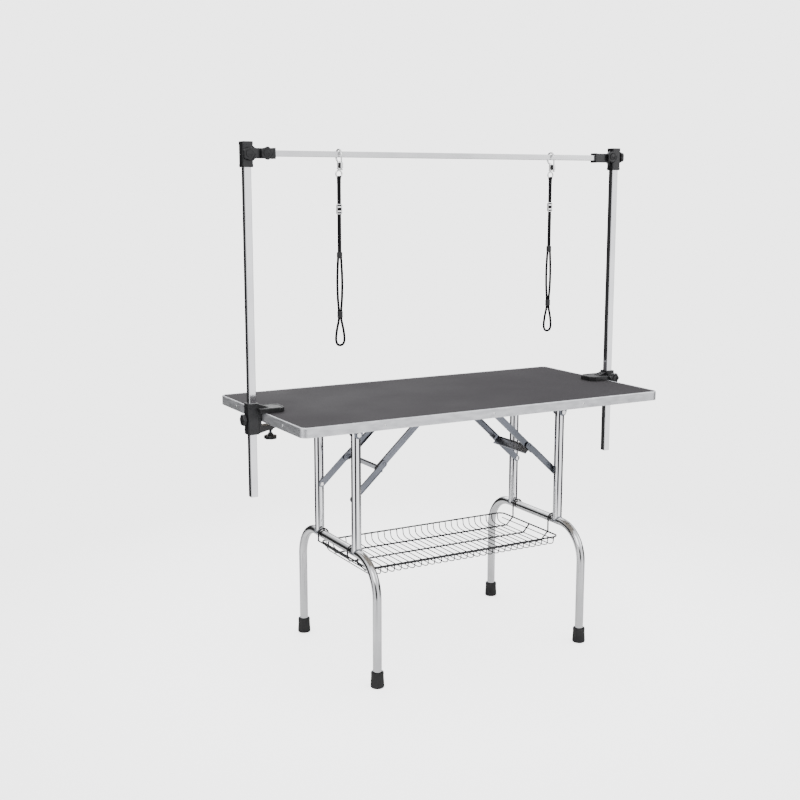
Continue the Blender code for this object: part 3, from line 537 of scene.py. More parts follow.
def tabletop():
    for name, node, look in (
        ("mat_surface", "rubber_mat", "rubber_top"), ("board_panel", "tabletop_board", "board"),
    ):
        piece = Piece()
        piece.skin(slab_rings(node, 0.0, 20))
        piece.make(name, look, "table", node)
    low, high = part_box("edge_profile")
    top, base = high.z, low.z
    section = [
        (0.0006, base), (0.0, base + 0.0008), (0.0, top - 0.0024), (0.0004, top - 0.0008),
        (0.0012, top + 0.0004), (0.0024, top + LIP), (0.0036, top + LIP * 0.9),
        (0.0046, top + 0.0005), (0.0048, top + 0.0001), (0.0025, top + 0.0001),
        (0.0025, base + 0.0014), (0.0030, base + 0.0013), (0.0118, base + 0.0013),
        (0.0120, base + 0.0009), (0.0118, base), (0.0060, base),
    ]
    loops = [
        [(u, v, z) for u, v in rounded(high.x - d, high.y - d, CORNER_RADIUS - d, 20)]
        for d, z in section
    ]
    piece = Piece()
    piece.skin(loops, closed=True)
    piece.make("edge_band", "edge", "table", "edge_profile")
    middle = (top + base) / 2
    screws = Piece()
    for x in (-0.3465, -0.0041, 0.3042):
        for face, facing in ((low.y, -1), (high.y, 1)):
            cross_screw(screws, (x, face, middle), "Y", facing, 0.0030, 0.0013)
    for y in (-0.164, 0.164):
        for face, facing in ((low.x, -1), (high.x, 1)):
            cross_screw(screws, (face, y, middle), "X", facing, 0.0030, 0.0013)
    screws.make("edge_screws", "bright", "table")


tabletop()


# ------------------------------------------------------------------ leg frames

TUBE_SIDES = 40
LEG_X = 0.347
PIVOT_Z = 0.693
CROSSBAR_Z = 0.352
LOWER_RADIUS = 0.0125
UPRIGHT_RADIUS = 0.014
UPRIGHT_Y = 0.120
STUD_FACE = 0.0994
FOOT_Y = 0.242
BEND_RADIUS = 0.100
EAR_FACE = 0.0180


def saddle_height(u):
    """How high the crossbar's surface lies at a distance u beside its middle."""
    return CROSSBAR_Z + math.sqrt(max(0.0, LOWER_RADIUS ** 2 - u ** 2))


def upright(side, end, sign):
    """The upper tube, with its top plug, its weld on the crossbar and the brace's stud."""
    name = f"upright_{side}_{end}"
    x, y = centre(name).x, sign * UPRIGHT_Y
    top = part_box(name)[1].z
    body = f"leg_{side}"
    ring = circle(UPRIGHT_RADIUS, TUBE_SIDES)
    rings = [[(x + u, y + v, saddle_height(u) - 0.0004) for u, v in ring]]
    for size, z in ((1.0, top - 0.0006), (0.965, top), (0.90, top), (0.88, top - 0.004)):
        rings.append([(x + u * size, y + v * size, z) for u, v in ring])
    rings.append([(x + u * 0.88, y + v * 0.88, top - 0.030) for u, v in ring])
    piece = Piece()
    piece.skin(rings)
    stud_z = PIVOT_Z - BRACE_DROP
    stud = [(0.0056, 0.0), (0.0056, 0.0032), (0.0052, 0.0036), (0.0030, 0.0038), (0.0030, 0.0080)]
    piece.turned(stud, (x, y - sign * (UPRIGHT_RADIUS - 0.0004), stud_z), "Y", 24, -sign)
    rivet(piece, (x, sign * STUD_FACE, stud_z), "Y", -sign, 0.0062, 0.0018)
    piece.make(f"upper_tube_{side}_{end}", "upright", body, name)
    weld = Piece()
    seam = [
        (x + u * 1.02, y + v * 1.02, saddle_height(u) + 0.0002)
        for u, v in circle(UPRIGHT_RADIUS, 44)
    ]
    weld.beads(seam, 0.0019)
    weld.make(f"weld_{side}_{end}", "zinc", body)


def lower_frame(side, sign):
    """The bent lower tube and its two rubber feet."""
    node = "lower_frame_" + side
    x, body = sign * LEG_X, "leg_" + side
    bend_y, bend_z = 0.142, CROSSBAR_Z - BEND_RADIUS
    route = [(-FOOT_Y, 0.010), *arc((-bend_y, bend_z), BEND_RADIUS, 180, 90, 24)]
    route += [*arc((bend_y, bend_z), BEND_RADIUS, 90, 0, 24), (FOOT_Y, 0.010)]
    piece = Piece()
    piece.sweep([(x, v, w) for v, w in route], circle(LOWER_RADIUS, TUBE_SIDES), (1, 0, 0))
    piece.make("lower_tube_" + side, "lower", body, node)
    profile = [
        (0.0, 0.0), (0.0150, 0.0), (0.0180, 0.0006), (0.0192, 0.0022), (0.0195, 0.0050),
        (0.0193, 0.0090), (0.0186, 0.0100), (0.0186, 0.0112), (0.0191, 0.0122),
        (0.0187, 0.0200), (0.0181, 0.0208), (0.0181, 0.0218), (0.0184, 0.0228),
        (0.0178, 0.0360), (0.0179, 0.0375), (0.0182, 0.0390), (0.0181, 0.0430),
        (0.0174, 0.0446), (0.0160, 0.0450), (0.0140, 0.0446), (0.0131, 0.0430), (0.0, 0.0425),
    ]
    for end, way in ENDS.items():
        cap = Piece()
        cap.turned(profile, (x, way * FOOT_Y, 0), "Z", 48)
        cap.make(f"foot_cap_{side}_{end}", "rubber", body, f"foot_{side}_{end}")


def leg_bracket(side, end, sign_x, sign):
    """Plate, two triangular ears, pivot bolt with nut and washers, and two screws."""
    node = f"leg_bracket_{side}_{end}"
    strip_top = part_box(node)[1].z
    strip_low = strip_top - 0.0025
    x, y = sign_x * LEG_X, sign * UPRIGHT_Y
    piece = Piece()
    piece.box((x - 0.026, y - 0.022, strip_low), (x + 0.026, y + 0.022, strip_top), 0.0007)
    foot = arc((x, PIVOT_Z), 0.012, -20, -160, 12)
    outline = [(x + 0.0255, strip_top - 0.0008), *foot, (x - 0.0255, strip_top - 0.0008)]
    for face in (-1, 1):
        near, far = sorted((y + face * 0.0155, y + face * EAR_FACE))
        piece.block(outline, near, far, "Y", 0.0005)
        washer = [(0.0086, 0.0), (0.0086, 0.0006), (0.0082, 0.0008), (0.0, 0.0009)]
        piece.turned(washer, (x, y + face * EAR_FACE, PIVOT_Z), "Y", 28, face)
    for x_step in (-0.0195, 0.0195):
        rivet(piece, (x + x_step, y, strip_low), "Z", -1, 0.0042, 0.0016)
    piece.make(f"hinge_plate_{side}_{end}", "zinc", "table", node)
    bolt = Piece()
    for face, height in ((-1, 0.0036), (1, 0.0044)):
        base = y + face * 0.0186
        near, far = sorted((base, base + face * height))
        nut = [(x + u, PIVOT_Z + v) for u, v in hexagon(0.0072)]
        bolt.block(nut, near, far, "Y", 0.0006)
    tip = [(0.0030, 0.0), (0.0030, 0.0058), (0.0024, 0.0064), (0.0, 0.0064)]
    bolt.turned(tip, (x, y + 0.0186, PIVOT_Z), "Y", 20, 1)
    bolt.turned([(0.0049, 0.0), (0.0049, 0.0370)], (x, y - 0.0185, PIVOT_Z), "Y", 24, 1)
    bolt.make(f"pivot_bolt_{side}_{end}", "bright", "table")


# --------------------------------------------------------------------- braces

BRACE_X, BRACE_RISE, BRACE_DROP = 0.243, 0.033, 0.190
LINK_HALF = 0.0096
LINK_TAIL = 0.026
TIE_OFFSET = 0.017
TIE_DROP = 0.008
TIE_HALF = 0.014
LOWER_LAYER = (0.0997, 0.1027)
UPPER_LAYER = (0.0946, 0.0966)


def brace_pivots(sign_x):
    """The pivots under the board, at the knee and on the leg, as (X, Z)."""
    straight = math.hypot(BRACE_X, BRACE_RISE + BRACE_DROP)
    folded = math.hypot(BRACE_X - BRACE_DROP, BRACE_RISE)
    share = (straight - folded) / 2 / straight
    top = Vector((sign_x * (LEG_X - BRACE_X), PIVOT_Z + BRACE_RISE))
    low = Vector((sign_x * LEG_X, PIVOT_Z - BRACE_DROP))
    return top, low.lerp(top, share), low


def link_outline(start, end, half):
    slope = math.degrees(math.atan2(end[1] - start[1], end[0] - start[0]))
    first = arc(start, half, slope + 90, slope + 270, 14)
    return [*first, *arc(end, half, slope - 90, slope + 90, 14)]


def strip(start, stop, square, low, high):
    """A bar's outline along a link, between two distances to one side of its middle."""
    return [start + square * low, stop + square * low, stop + square * high, start + square * high]


def layer(sign, near, far):
    return sorted((sign * near, sign * far))


def flanges(piece, start, stop, square, depth):
    """The two turned-up edges of a link, between the heights in depth."""
    for edge in (-1, 1):
        outline = strip(start, stop, square * edge, LINK_HALF - 0.0018, LINK_HALF - 0.0001)
        piece.block(outline, *depth, "Y", 0.0006)


def upper_link(side, end, sign, top, knee):
    """The pressed channel, with its stiffening rib and the knee's boss."""
    piece = Piece()
    way = (knee - top).normalized()
    square = Vector((-way.y, way.x))
    start, stop = top.lerp(knee, 0.06), knee + way * LINK_TAIL
    piece.block(link_outline(top, stop, LINK_HALF), *layer(sign, *UPPER_LAYER), "Y", 0.0004)
    depth = layer(sign, UPPER_LAYER[0] - 0.006, UPPER_LAYER[0] + 0.001)
    flanges(piece, start, stop, square, depth)
    rib = link_outline(top.lerp(knee, 0.16), top.lerp(knee, 0.84), 0.0026)
    piece.block(rib, *layer(sign, UPPER_LAYER[1] - 0.0005, UPPER_LAYER[1] + 0.0007), "Y", 0.0005)
    boss = [(0.0062, 0.0), (0.0062, 0.0024), (0.0058, 0.0028), (0.0, 0.0028)]
    piece.turned(boss, (knee.x, sign * (UPPER_LAYER[1] - 0.0002), knee.y), "Y", 28, sign)
    rivet(piece, (knee.x, sign * UPPER_LAYER[0], knee.y), "Y", -sign, 0.0050, 0.0018)
    piece.make(f"channel_link_{side}_{end}", "zinc", "upper_links_" + side, f"upper_link_{side}_{end}")


def lower_link(side, end, sign, knee, low):
    """The lower bar, with edges turned outwards and the knee pin's head."""
    piece = Piece()
    piece.block(link_outline(knee, low, LINK_HALF), *layer(sign, *LOWER_LAYER), "Y", 0.0005)
    way = (low - knee).normalized()
    square = Vector((-way.y, way.x))
    start, stop = knee.lerp(low, 0.12), knee.lerp(low, 0.86)
    depth = layer(sign, LOWER_LAYER[1] - 0.001, LOWER_LAYER[1] + 0.0022)
    flanges(piece, start, stop, square, depth)
    rivet(piece, (knee.x, sign * LOWER_LAYER[1], knee.y), "Y", sign, 0.0052, 0.0021)
    piece.make(f"strap_link_{side}_{end}", "zinc", "lower_links_" + side, f"lower_link_{side}_{end}")


def tie_plate(side, top, knee):
    """The plate across a frame's two channels, with its long edges turned over."""
    way = (top - knee).normalized()
    square = Vector((-way.y, way.x))
    down = -square if square.y > 0 else square
    middle = knee - way * TIE_OFFSET + down * TIE_DROP
    piece = Piece()
    reach = 0.0883
    plate = strip(middle - way * 0.001, middle + way * 0.001, square, -TIE_HALF, TIE_HALF)
    piece.block(plate, -reach, reach, "Y", 0.0004)
    for edge in (-1, 1):
        near, far = middle - way * 0.001, middle + way * 0.005
        lip = strip(near, far, square * edge, TIE_HALF - 0.0017, TIE_HALF)
        piece.block(lip, -reach + 0.004, reach - 0.004, "Y", 0.0006)
    piece.make("tie_bar_" + side, "zinc", "upper_links_" + side, "tie_plate_" + side)


def brace_bracket(side, end, sign, top):
    """The small plate and ear that hold a channel under the board."""
    node = f"brace_bracket_{side}_{end}"
    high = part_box(node)[1].z
    piece = Piece()
    near, far = layer(sign, 0.092, UPRIGHT_Y)
    piece.box((top.x - 0.011, near, high - 0.0025), (top.x + 0.011, far, high), 0.0006)
    edge = high - 0.001
    ear = [(top.x + 0.010, edge), *arc(top, 0.009, 0, -180, 14), (top.x - 0.010, edge)]
    inner = UPPER_LAYER[1] + 0.0003
    piece.block(ear, *layer(sign, inner, inner + 0.0025), "Y", 0.0005)
    rivet(piece, (top.x, sign * (inner + 0.0025), top.y), "Y", sign, 0.0048, 0.0018)
    pin = [(0.003, 0.0), (0.003, 0.006)]
    piece.turned(pin, (top.x, sign * (inner + 0.001), top.y), "Y", 20, -sign)
    rivet(piece, (top.x, sign * (UPPER_LAYER[0] - 0.0003), top.y), "Y", -sign, 0.0048, 0.0018)
    rivet(piece, (top.x, sign * 0.112, high - 0.0025), "Z", -1, 0.0036, 0.0014)
    piece.make(f"brace_plate_{side}_{end}", "zinc", "table", node)


for side_name, side_sign in SIDES.items():
    pivots = brace_pivots(side_sign)
    lower_frame(side_name, side_sign)
    tie_plate(side_name, pivots[0], pivots[1])
    for end_name, end_sign in ENDS.items():
        upright(side_name, end_name, end_sign)
        leg_bracket(side_name, end_name, side_sign, end_sign)
        brace_bracket(side_name, end_name, end_sign, pivots[0])
        upper_link(side_name, end_name, end_sign, pivots[0], pivots[1])
        lower_link(side_name, end_name, end_sign, pivots[1], pivots[2])


# ---------------------------------------------------------------------- basket

BASKET_X, BASKET_Y, RIM_Z, TRAY_Z = 0.328, 0.155, 0.3125, 0.288
HOOK_Y = 0.095
HOOK_REACH = 0.016
FRAME_WIRE, CROSS_WIRE = 0.0025, 0.0016
CROSS_WIRES = 29


def mirrored(half, flip):
    return [*[flip(p) for p in reversed(half)], *half]


def basket():
    """Rim, hook wires, stays and cross wires of round wire, with a spot of weld at each crossing."""
    piece = Piece()
    thick, thin = circle(FRAME_WIRE, 14), circle(CROSS_WIRE, 10)
    rim = [(u, v, RIM_Z) for u, v in rounded(BASKET_X, BASKET_Y, 0.020, 8)]
    piece.sweep(rim, thick, (0, 0, 1), closed=True)
    plain = [(BASKET_X - 0.022, 0, TRAY_Z), (BASKET_X, 0, RIM_Z)]
    crown = [(LEG_X + u, 0, CROSSBAR_Z + v) for u, v in arc((0, 0), HOOK_REACH, 180, 0, 14)]
    tip = (LEG_X + HOOK_REACH, 0, CROSSBAR_Z - 0.020)
    hook = [(BASKET_X - 0.022, 0, TRAY_Z), (LEG_X - HOOK_REACH, 0, RIM_Z), *crown, tip]
    for y, half in ((-HOOK_Y, hook), (0, plain), (HOOK_Y, hook)):
        line = mirrored([(u, y, w) for u, _, w in half], lambda p: (-p[0], p[1], p[2]))
        line = fillet(line, 0.006, 5) if y == 0 else line
        piece.sweep(line, thick, (0, 1, 0))
    for sign in SIDES.values():
        stay_x, stay_z = sign * (LEG_X + HOOK_REACH), CROSSBAR_Z - 0.019
        stay = [(stay_x, y, stay_z) for y in (-HOOK_Y - 0.003, HOOK_Y + 0.003)]
        piece.sweep(stay, circle(FRAME_WIRE * 0.9, 12), (0, 0, 1))
        end_x, end_z = sign * (BASKET_X - 0.008), (RIM_Z + TRAY_Z) / 2
        piece.sweep([(end_x, -0.140, end_z), (end_x, 0.140, end_z)], thin, (0, 0, 1))
    low = TRAY_Z - FRAME_WIRE
    side = [(0.133, low), (0.151, low + 0.006), (BASKET_Y, RIM_Z)]
    reach = BASKET_X - 0.018
    spots = []
    for k in range(CROSS_WIRES):
        x = -reach + 2 * reach * k / (CROSS_WIRES - 1)
        wire = mirrored([(x, v, w) for v, w in side], lambda p: (p[0], -p[1], p[2]))
        piece.sweep(fillet(wire, 0.007, 4), thin, (1, 0, 0))
        spots += [(x, y, TRAY_Z - 0.0018) for y in (-HOOK_Y, 0, HOOK_Y)]
        spots += [(x, sign * BASKET_Y, RIM_Z - 0.0010) for sign in (-1, 1)]
    piece.beads(spots, 0.0019)
    piece.make("basket_wires", "wire", "basket", "wire_basket")


basket()


# ----------------------------------------------------------- posts, bar, clamps

POST_X, POST_Y = 0.610, -0.015
SLEEVE_HALF = 0.016
CORNER_HALF = 0.0145
SOCKET_HALF = 0.0125
BAR_Z = 1.450
JAW_X = 0.523
JAW_Y = (-0.051, 0.021)
SCREW_X = 0.556
GRIP_Z = 0.687


def square_section(half, corner, steps=6):
    return rounded(half, half, corner, steps)


POST_BORE = square_section(0.0103, 0.0010)


def sleeve(piece, x, low, high, section, hollow):
    """A hollow section standing round a post's middle, from low to high."""
    piece.sweep([(x, POST_Y, low), (x, POST_Y, high)], section, (1, 0, 0), hollow=hollow)


def posts_and_bar():
    for side, sign in SIDES.items():
        low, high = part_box("post_" + side)
        x = sign * POST_X
        post = Piece()
        outer, inner = square_section(0.010, 0.0018), square_section(0.0088, 0.0008)
        sleeve(post, x, low.z, high.z, outer, inner)
        post.make("post_tube_" + side, "post", "post_" + side, "post_" + side)
    low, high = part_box("overhead_bar")
    bar = Piece()
    bar.sweep(
        [(low.x, POST_Y, BAR_Z), (high.x, POST_Y, BAR_Z)], square_section(0.008, 0.0014), (0, 0, 1),
        hollow=square_section(0.0068, 0.0006),
    )
    bar.make("bar_tube", "bar", "overhead", "overhead_bar")


def jaw_outline(sign, inset):
    """The top jaw's outline with its two cut corners, drawn in by inset."""
    inner, outer = JAW_X + inset, POST_X - SLEEVE_HALF + 0.004
    low, high, corner = JAW_Y[0] + inset, JAW_Y[1] - inset, 0.014
    outline = [
        (inner + corner, low), (outer, low), (outer, high), (inner + corner, high),
        (inner, high - corner), (inner, low + corner),
    ]
    return [(sign * u, v) for u, v in outline]


def clamp(side, sign):
    """The moulded clamp: sleeve, wide top jaw with a raised border, rib and lower jaw."""
    node = "clamp_" + side
    low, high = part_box(node)
    x = sign * POST_X
    piece = Piece()
    wall = square_section(SLEEVE_HALF, 0.003)
    sleeve(piece, x, low.z + 0.0004, high.z - 0.0004, wall, POST_BORE)
    collar = square_section(SLEEVE_HALF - 0.0018, 0.003)
    sleeve(piece, x, high.z - 0.001, high.z, collar, POST_BORE)
    jaw_low, jaw_high = 0.7603, 0.7735
    piece.block(jaw_outline(sign, 0), jaw_low, jaw_high - 0.0012, "Z", 0.0008, 2)
    border = jaw_outline(sign, 0.0035)
    if sign > 0:
        border.reverse()
    route = [(u, v, jaw_high - 0.0012) for u, v in border]
    piece.sweep(route, rounded(0.0013, 0.0018, 0.0008, 3), (0, 0, 1), closed=True)
    web = sorted((sign * 0.587, sign * (POST_X - SLEEVE_HALF + 0.003)))
    piece.box((web[0], POST_Y - 0.0143, low.z + 0.004), (web[1], POST_Y + 0.0143, jaw_low + 0.004),
              0.0010)
    ribs = [(0.596, high.z - 0.003), (0.596, jaw_high - 0.002), (0.560, jaw_high - 0.002)]
    ribs = [(sign * u, v) for u, v in ribs]
    for middle in (POST_Y - 0.0105, POST_Y, POST_Y + 0.0105):
        piece.block(ribs, middle - 0.0022, middle + 0.0022, "Y", 0.0006)
    tip = SCREW_X - 0.016
    lower = [
        (0.5955, 0.702), (0.5955, 0.7235), (tip, 0.7225), (tip, 0.7155), (0.568, 0.709),
    ]
    lower = [(sign * u, v) for u, v in lower]
    piece.block(lower, POST_Y - 0.015, POST_Y + 0.015, "Y", 0.0012, 3)
    nut = [(sign * SCREW_X + u, POST_Y + v) for u, v in hexagon(0.0072)]
    piece.block(nut, 0.7065, 0.7145, "Z", 0.0005)
    for z in (low.z + 0.012, high.z - 0.010):
        band = square_section(SLEEVE_HALF + 0.0007, 0.0032)
        sleeve(piece, x, z - 0.002, z + 0.002, band, wall)
    piece.make("clamp_body_" + side, "plastic", "table", node)


KNOB_PROFILE = (
    (0.42, 0.00), (0.86, 0.02), (0.97, 0.10), (1.00, 0.25), (1.00, 0.60), (0.96, 0.78),
    (0.86, 0.88), (0.72, 0.90), (0.66, 0.84), (0.52, 0.82), (0.50, 0.96), (0.30, 1.05), (0.0, 1.08),
)


def knob(name, node, body, face, facing, radius, thick, stand, lobes):
    """A lobed hand knob with a hub, standing off the wall at the point face."""
    axis, way = facing[1], 1 if facing[0] == "+" else -1
    step = Vector(PLANES[axis](0, 0, way))
    piece = Piece()
    profile = [(radius * r, stand + thick * h) for r, h in KNOB_PROFILE]
    piece.lobed(profile, face, axis, way, lobes, 0.075)
    neck = min(radius * 0.5, 0.0056)
    hub = [(neck, 0.0004), (neck, stand * 0.6), (radius * 0.5, stand + 0.0008), (0.0, stand + 0.001)]
    piece.turned(hub, face, axis, 28, way)
    rivet(piece, Vector(face) + step * (stand + thick * 1.05), axis, way, radius * 0.20, 0.0008)
    piece.make(name, "grip", body, node)
    stud = Piece()
    stud.turned([(0.0024, -0.0050), (0.0028, -0.0045), (0.0028, 0.0010)], face, axis, 20, way)
    stud.make(name + "_stud", "bright", body)


def clamp_screw(side, sign):
    """Threaded rod, pressure pad and flat star knob under the lower jaw."""
    x, body = sign * SCREW_X, "clamp_screw_" + side
    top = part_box("clamp_screw_" + side)[1].z
    rod = Piece()
    thread = [(0.0034, GRIP_Z)]
    turns, pitch = 27, 0.00125
    for k in range(turns):
        z = GRIP_Z + 0.006 + pitch * k
        thread += [(0.0034, z), (0.0040, z + pitch * 0.35), (0.0040, z + pitch * 0.55)]
    thread.append((0.0034, top - 0.0040))
    rod.turned(thread, (x, POST_Y, 0), "Z", 20)
    pad = [(0.0, -0.0044), (0.0070, -0.0044), (0.0088, -0.0036), (0.0090, -0.0006), (0.0084, 0.0)]
    rod.turned([*pad, (0.0, 0.0)], (x, POST_Y, top), "Z", 36)
    rod.make("threaded_rod_" + side, "zinc", body, "clamp_screw_" + side)
    grip = Piece()
    profile = [
        (0.0, -0.0050), (0.45, -0.0055), (0.90, -0.0050), (1.0, -0.0036), (1.0, 0.0030),
        (0.94, 0.0048), (0.60, 0.0055), (0.42, 0.0060), (0.38, 0.0110), (0.34, 0.0118), (0.0, 0.0118),
    ]
    grip.lobed([(0.0182 * r, h) for r, h in profile], (x, POST_Y, GRIP_Z), "Z", 1, 7, 0.06)
    grip.make("screw_grip_" + side, "grip", body)


def connector(side, sign):
    """The corner piece: a capped, banded sleeve with a socket for the bar, and ribs."""
    node = "connector_" + side
    low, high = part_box(node)
    x = sign * POST_X
    piece = Piece()
    wall = square_section(CORNER_HALF, 0.003)
    sleeve(piece, x, low.z, high.z - 0.006, wall, POST_BORE)
    piece.box((x - CORNER_HALF, POST_Y - CORNER_HALF, high.z - 0.0065),
              (x + CORNER_HALF, POST_Y + CORNER_HALF, high.z), 0.0022, 3)
    for z in (low.z + 0.005, high.z - 0.0060):
        band = square_section(CORNER_HALF + 0.0006, 0.0034)
        sleeve(piece, x, z - 0.0030, z + 0.0030, band, wall)
    start, stop = sign * 0.531, sign * (POST_X - CORNER_HALF + 0.003)
    socket = rounded(0.0135, SOCKET_HALF, 0.0022, 6)
    bore = square_section(0.0083, 0.0008)
    piece.sweep([(start, POST_Y, BAR_Z), (stop, POST_Y, BAR_Z)], socket, (0, 0, 1), hollow=bore)
    rim = rounded(0.0145, 0.0135, 0.0026, 6)
    piece.sweep([(start, POST_Y, BAR_Z), (start + sign * 0.005, POST_Y, BAR_Z)], rim, (0, 0, 1),
                hollow=socket)
    for height in (-1, 1):
        web = [
            (sign * 0.5970, BAR_Z + height * 0.0120), (sign * 0.5970, BAR_Z + height * 0.0240),
            (sign * 0.5820, BAR_Z + height * 0.0120),
        ]
        piece.block(web, POST_Y - 0.004, POST_Y + 0.004, "Y", 0.0006)
    piece.make("corner_" + side, "plastic", "overhead", node)


posts_and_bar()
for side_name, side_sign in SIDES.items():
    clamp(side_name, side_sign)
    clamp_screw(side_name, side_sign)
    connector(side_name, side_sign)

FRONT = POST_Y - SLEEVE_HALF
CORNER_FRONT = POST_Y - CORNER_HALF
SOCKET_FRONT = POST_Y - SOCKET_HALF
KNOBS = (
    ("post_knob_left", (-POST_X, CORNER_FRONT, BAR_Z - 0.002), "-Y", 0.018, 0.009, 0.003, 5),
    ("bar_knob_left", (-0.560, SOCKET_FRONT, BAR_Z), "-Y", 0.018, 0.009, 0.003, 5),
    ("post_knob_right", (POST_X + CORNER_HALF, POST_Y, BAR_Z + 0.003), "+X", 0.018, 0.0135, 0.003, 5),
    ("bar_knob_right", (0.588, SOCKET_FRONT, BAR_Z + 0.003), "-Y", 0.018, 0.009, 0.003, 5),
    ("clamp_knob_left", (-POST_X - SLEEVE_HALF, POST_Y, 0.741), "-X", 0.017, 0.012, 0.003, 6),
    ("clamp_knob_right", (POST_X - 0.0055, FRONT, 0.766), "-Y", 0.017, 0.012, 0.0215, 6),
)
for node_name, place_at, way_out, size, depth, stand_off, lobe_count in KNOBS:
    knob(node_name + "_head", node_name, node_name, place_at, way_out, size, depth, stand_off,
         lobe_count)


# --------------------------------------------------------------------- leashes

LEASH_X = {"left": -0.340, "right": 0.370}
HOOK_CENTRE_Z = BAR_Z - 0.003
HOOK_RADIUS = 0.0165
EYE_Z = BAR_Z - 0.052
EYE_RADIUS = 0.009
STRAP_TOP = EYE_Z - EYE_RADIUS - 0.0025
STRAP_BOTTOM = 1.178
ADJUSTER_Z = 1.3028
KEEPER_Z = 1.013
CORD_RADIUS = 0.0034
STRAP_HALF = 0.0055

# The loop's right half, from where the strap ends to the bottom: half width and height
LOOP_ROUTE = (
    (0.0038, STRAP_BOTTOM - 0.0005), (0.0058, 1.150), (0.0075, 1.105), (0.0064, 1.060),
    (0.0038, 1.026), (0.0038, 1.000), (0.0105, 0.968), (0.0130, 0.943), (0.0085, 0.930),
    (0.0000, 0.9265),
)


def smooth(route, steps):
    """Points on a smooth curve through the route's points (a Catmull-Rom spline)."""
    ends = [route[0], *route, route[-1]]
    points = []
    for a, b, c, d in zip(ends, ends[1:], ends[2:], ends[3:]):
        for k in range(steps):
            t = k / steps
            points.append(tuple(
                0.5 * (2 * q + (r - p) * t + (2 * p - 5 * q + 4 * r - s) * t * t
                       + (3 * q - p - 3 * r + s) * t ** 3)
                for p, q, r, s in zip(a, b, c, d)
            ))
    return [*points, route[-1]]


def snap(side, x):
    """The snap's hook, body, sliding bolt with thumb tab, and the swivel ring."""
    body = Piece()
    hook = [(x, y, z) for y, z in arc((POST_Y, HOOK_CENTRE_Z), HOOK_RADIUS, -90, 178, 30)]
    body.sweep(hook, circle(0.0025, 18), (1, 0, 0))
    barrel = [
        (0.0, -0.0405), (0.0040, -0.0405), (0.0052, -0.0396), (0.0052, -0.0370), (0.0045, -0.0358),
        (0.0045, -0.0290), (0.0052, -0.0270), (0.0046, -0.0215), (0.0030, -0.0180), (0.0, -0.0178),
    ]
    body.turned(barrel, (x, POST_Y, BAR_Z), "Z", 28)
    front = POST_Y - HOOK_RADIUS
    body.box((x - 0.0036, front - 0.0036, BAR_Z - 0.0375), (x + 0.0036, POST_Y, BAR_Z - 0.0215),
             0.0016, 3)
    body.make("snap_body_" + side, "bright", "bolt_snap_" + side, "bolt_snap_" + side)
    bolt = Piece()
    pin = [(0.0, -0.0425), (0.0020, -0.0425), (0.0020, -0.0046), (0.0014, -0.0036), (0.0, -0.0034)]
    bolt.turned(pin, (x, front, BAR_Z), "Z", 20)
    tab = [(0.0, -0.0015), (0.0030, -0.0015), (0.0036, -0.0009), (0.0036, 0.0009), (0.0030, 0.0015)]
    bolt.turned([*tab, (0.0, 0.0015)], (x, front, BAR_Z - 0.041), "Z", 24)
    bolt.make("snap_pin_" + side, "bright", "snap_bolt_" + side, "snap_bolt_" + side)
    eye = Piece()
    ring = [(x + u, POST_Y, EYE_Z + v) for u, v in circle(EYE_RADIUS, 48)]
    eye.sweep(ring, circle(0.0020, 16), (0, 1, 0), closed=True)
    stem = [(0.0, 0.0), (0.0026, 0.0), (0.0026, 0.0022), (0.0020, 0.0030), (0.0020, 0.0080)]
    eye.turned(stem, (x, POST_Y, EYE_Z + EYE_RADIUS + 0.0005), "Z", 24)
    eye.make("swivel_ring_" + side, "bright", "swivel_eye_" + side, "swivel_eye_" + side)


def adjuster(side, x):
    """The metal slide: a frame with two crossbars that the webbing runs through."""
    piece = Piece()
    low, high = ADJUSTER_Z - 0.0135, ADJUSTER_Z + 0.0135
    outer = [(x + u, POST_Y, ADJUSTER_Z + v) for u, v in rounded(0.0072, 0.0128, 0.0022, 6)]
    piece.sweep(outer, rounded(0.0022, 0.0012, 0.0008, 3), (0, 1, 0), closed=True)
    for z in (low + 0.0075, high - 0.0075):
        for y in (-0.0030, 0.0030):
            line = [(x - 0.0070, POST_Y + y, z), (x + 0.0070, POST_Y + y, z)]
            piece.sweep(line, rounded(0.0009, 0.0022, 0.0006, 3), (0, 1, 0))
    return piece.make("slide_" + side, "bright", "leash_" + side, "leash_adjuster_" + side)


def moulded_collar(name, body, x, z, outline, steps):
    """A short moulded sleeve on the leash; steps are pairs of size and height."""
    piece = Piece()
    piece.skin([
        [(x + u * size, POST_Y + v * size, z + height) for u, v in outline]
        for size, height in steps
    ])
    return piece.make(name, "grip", body)


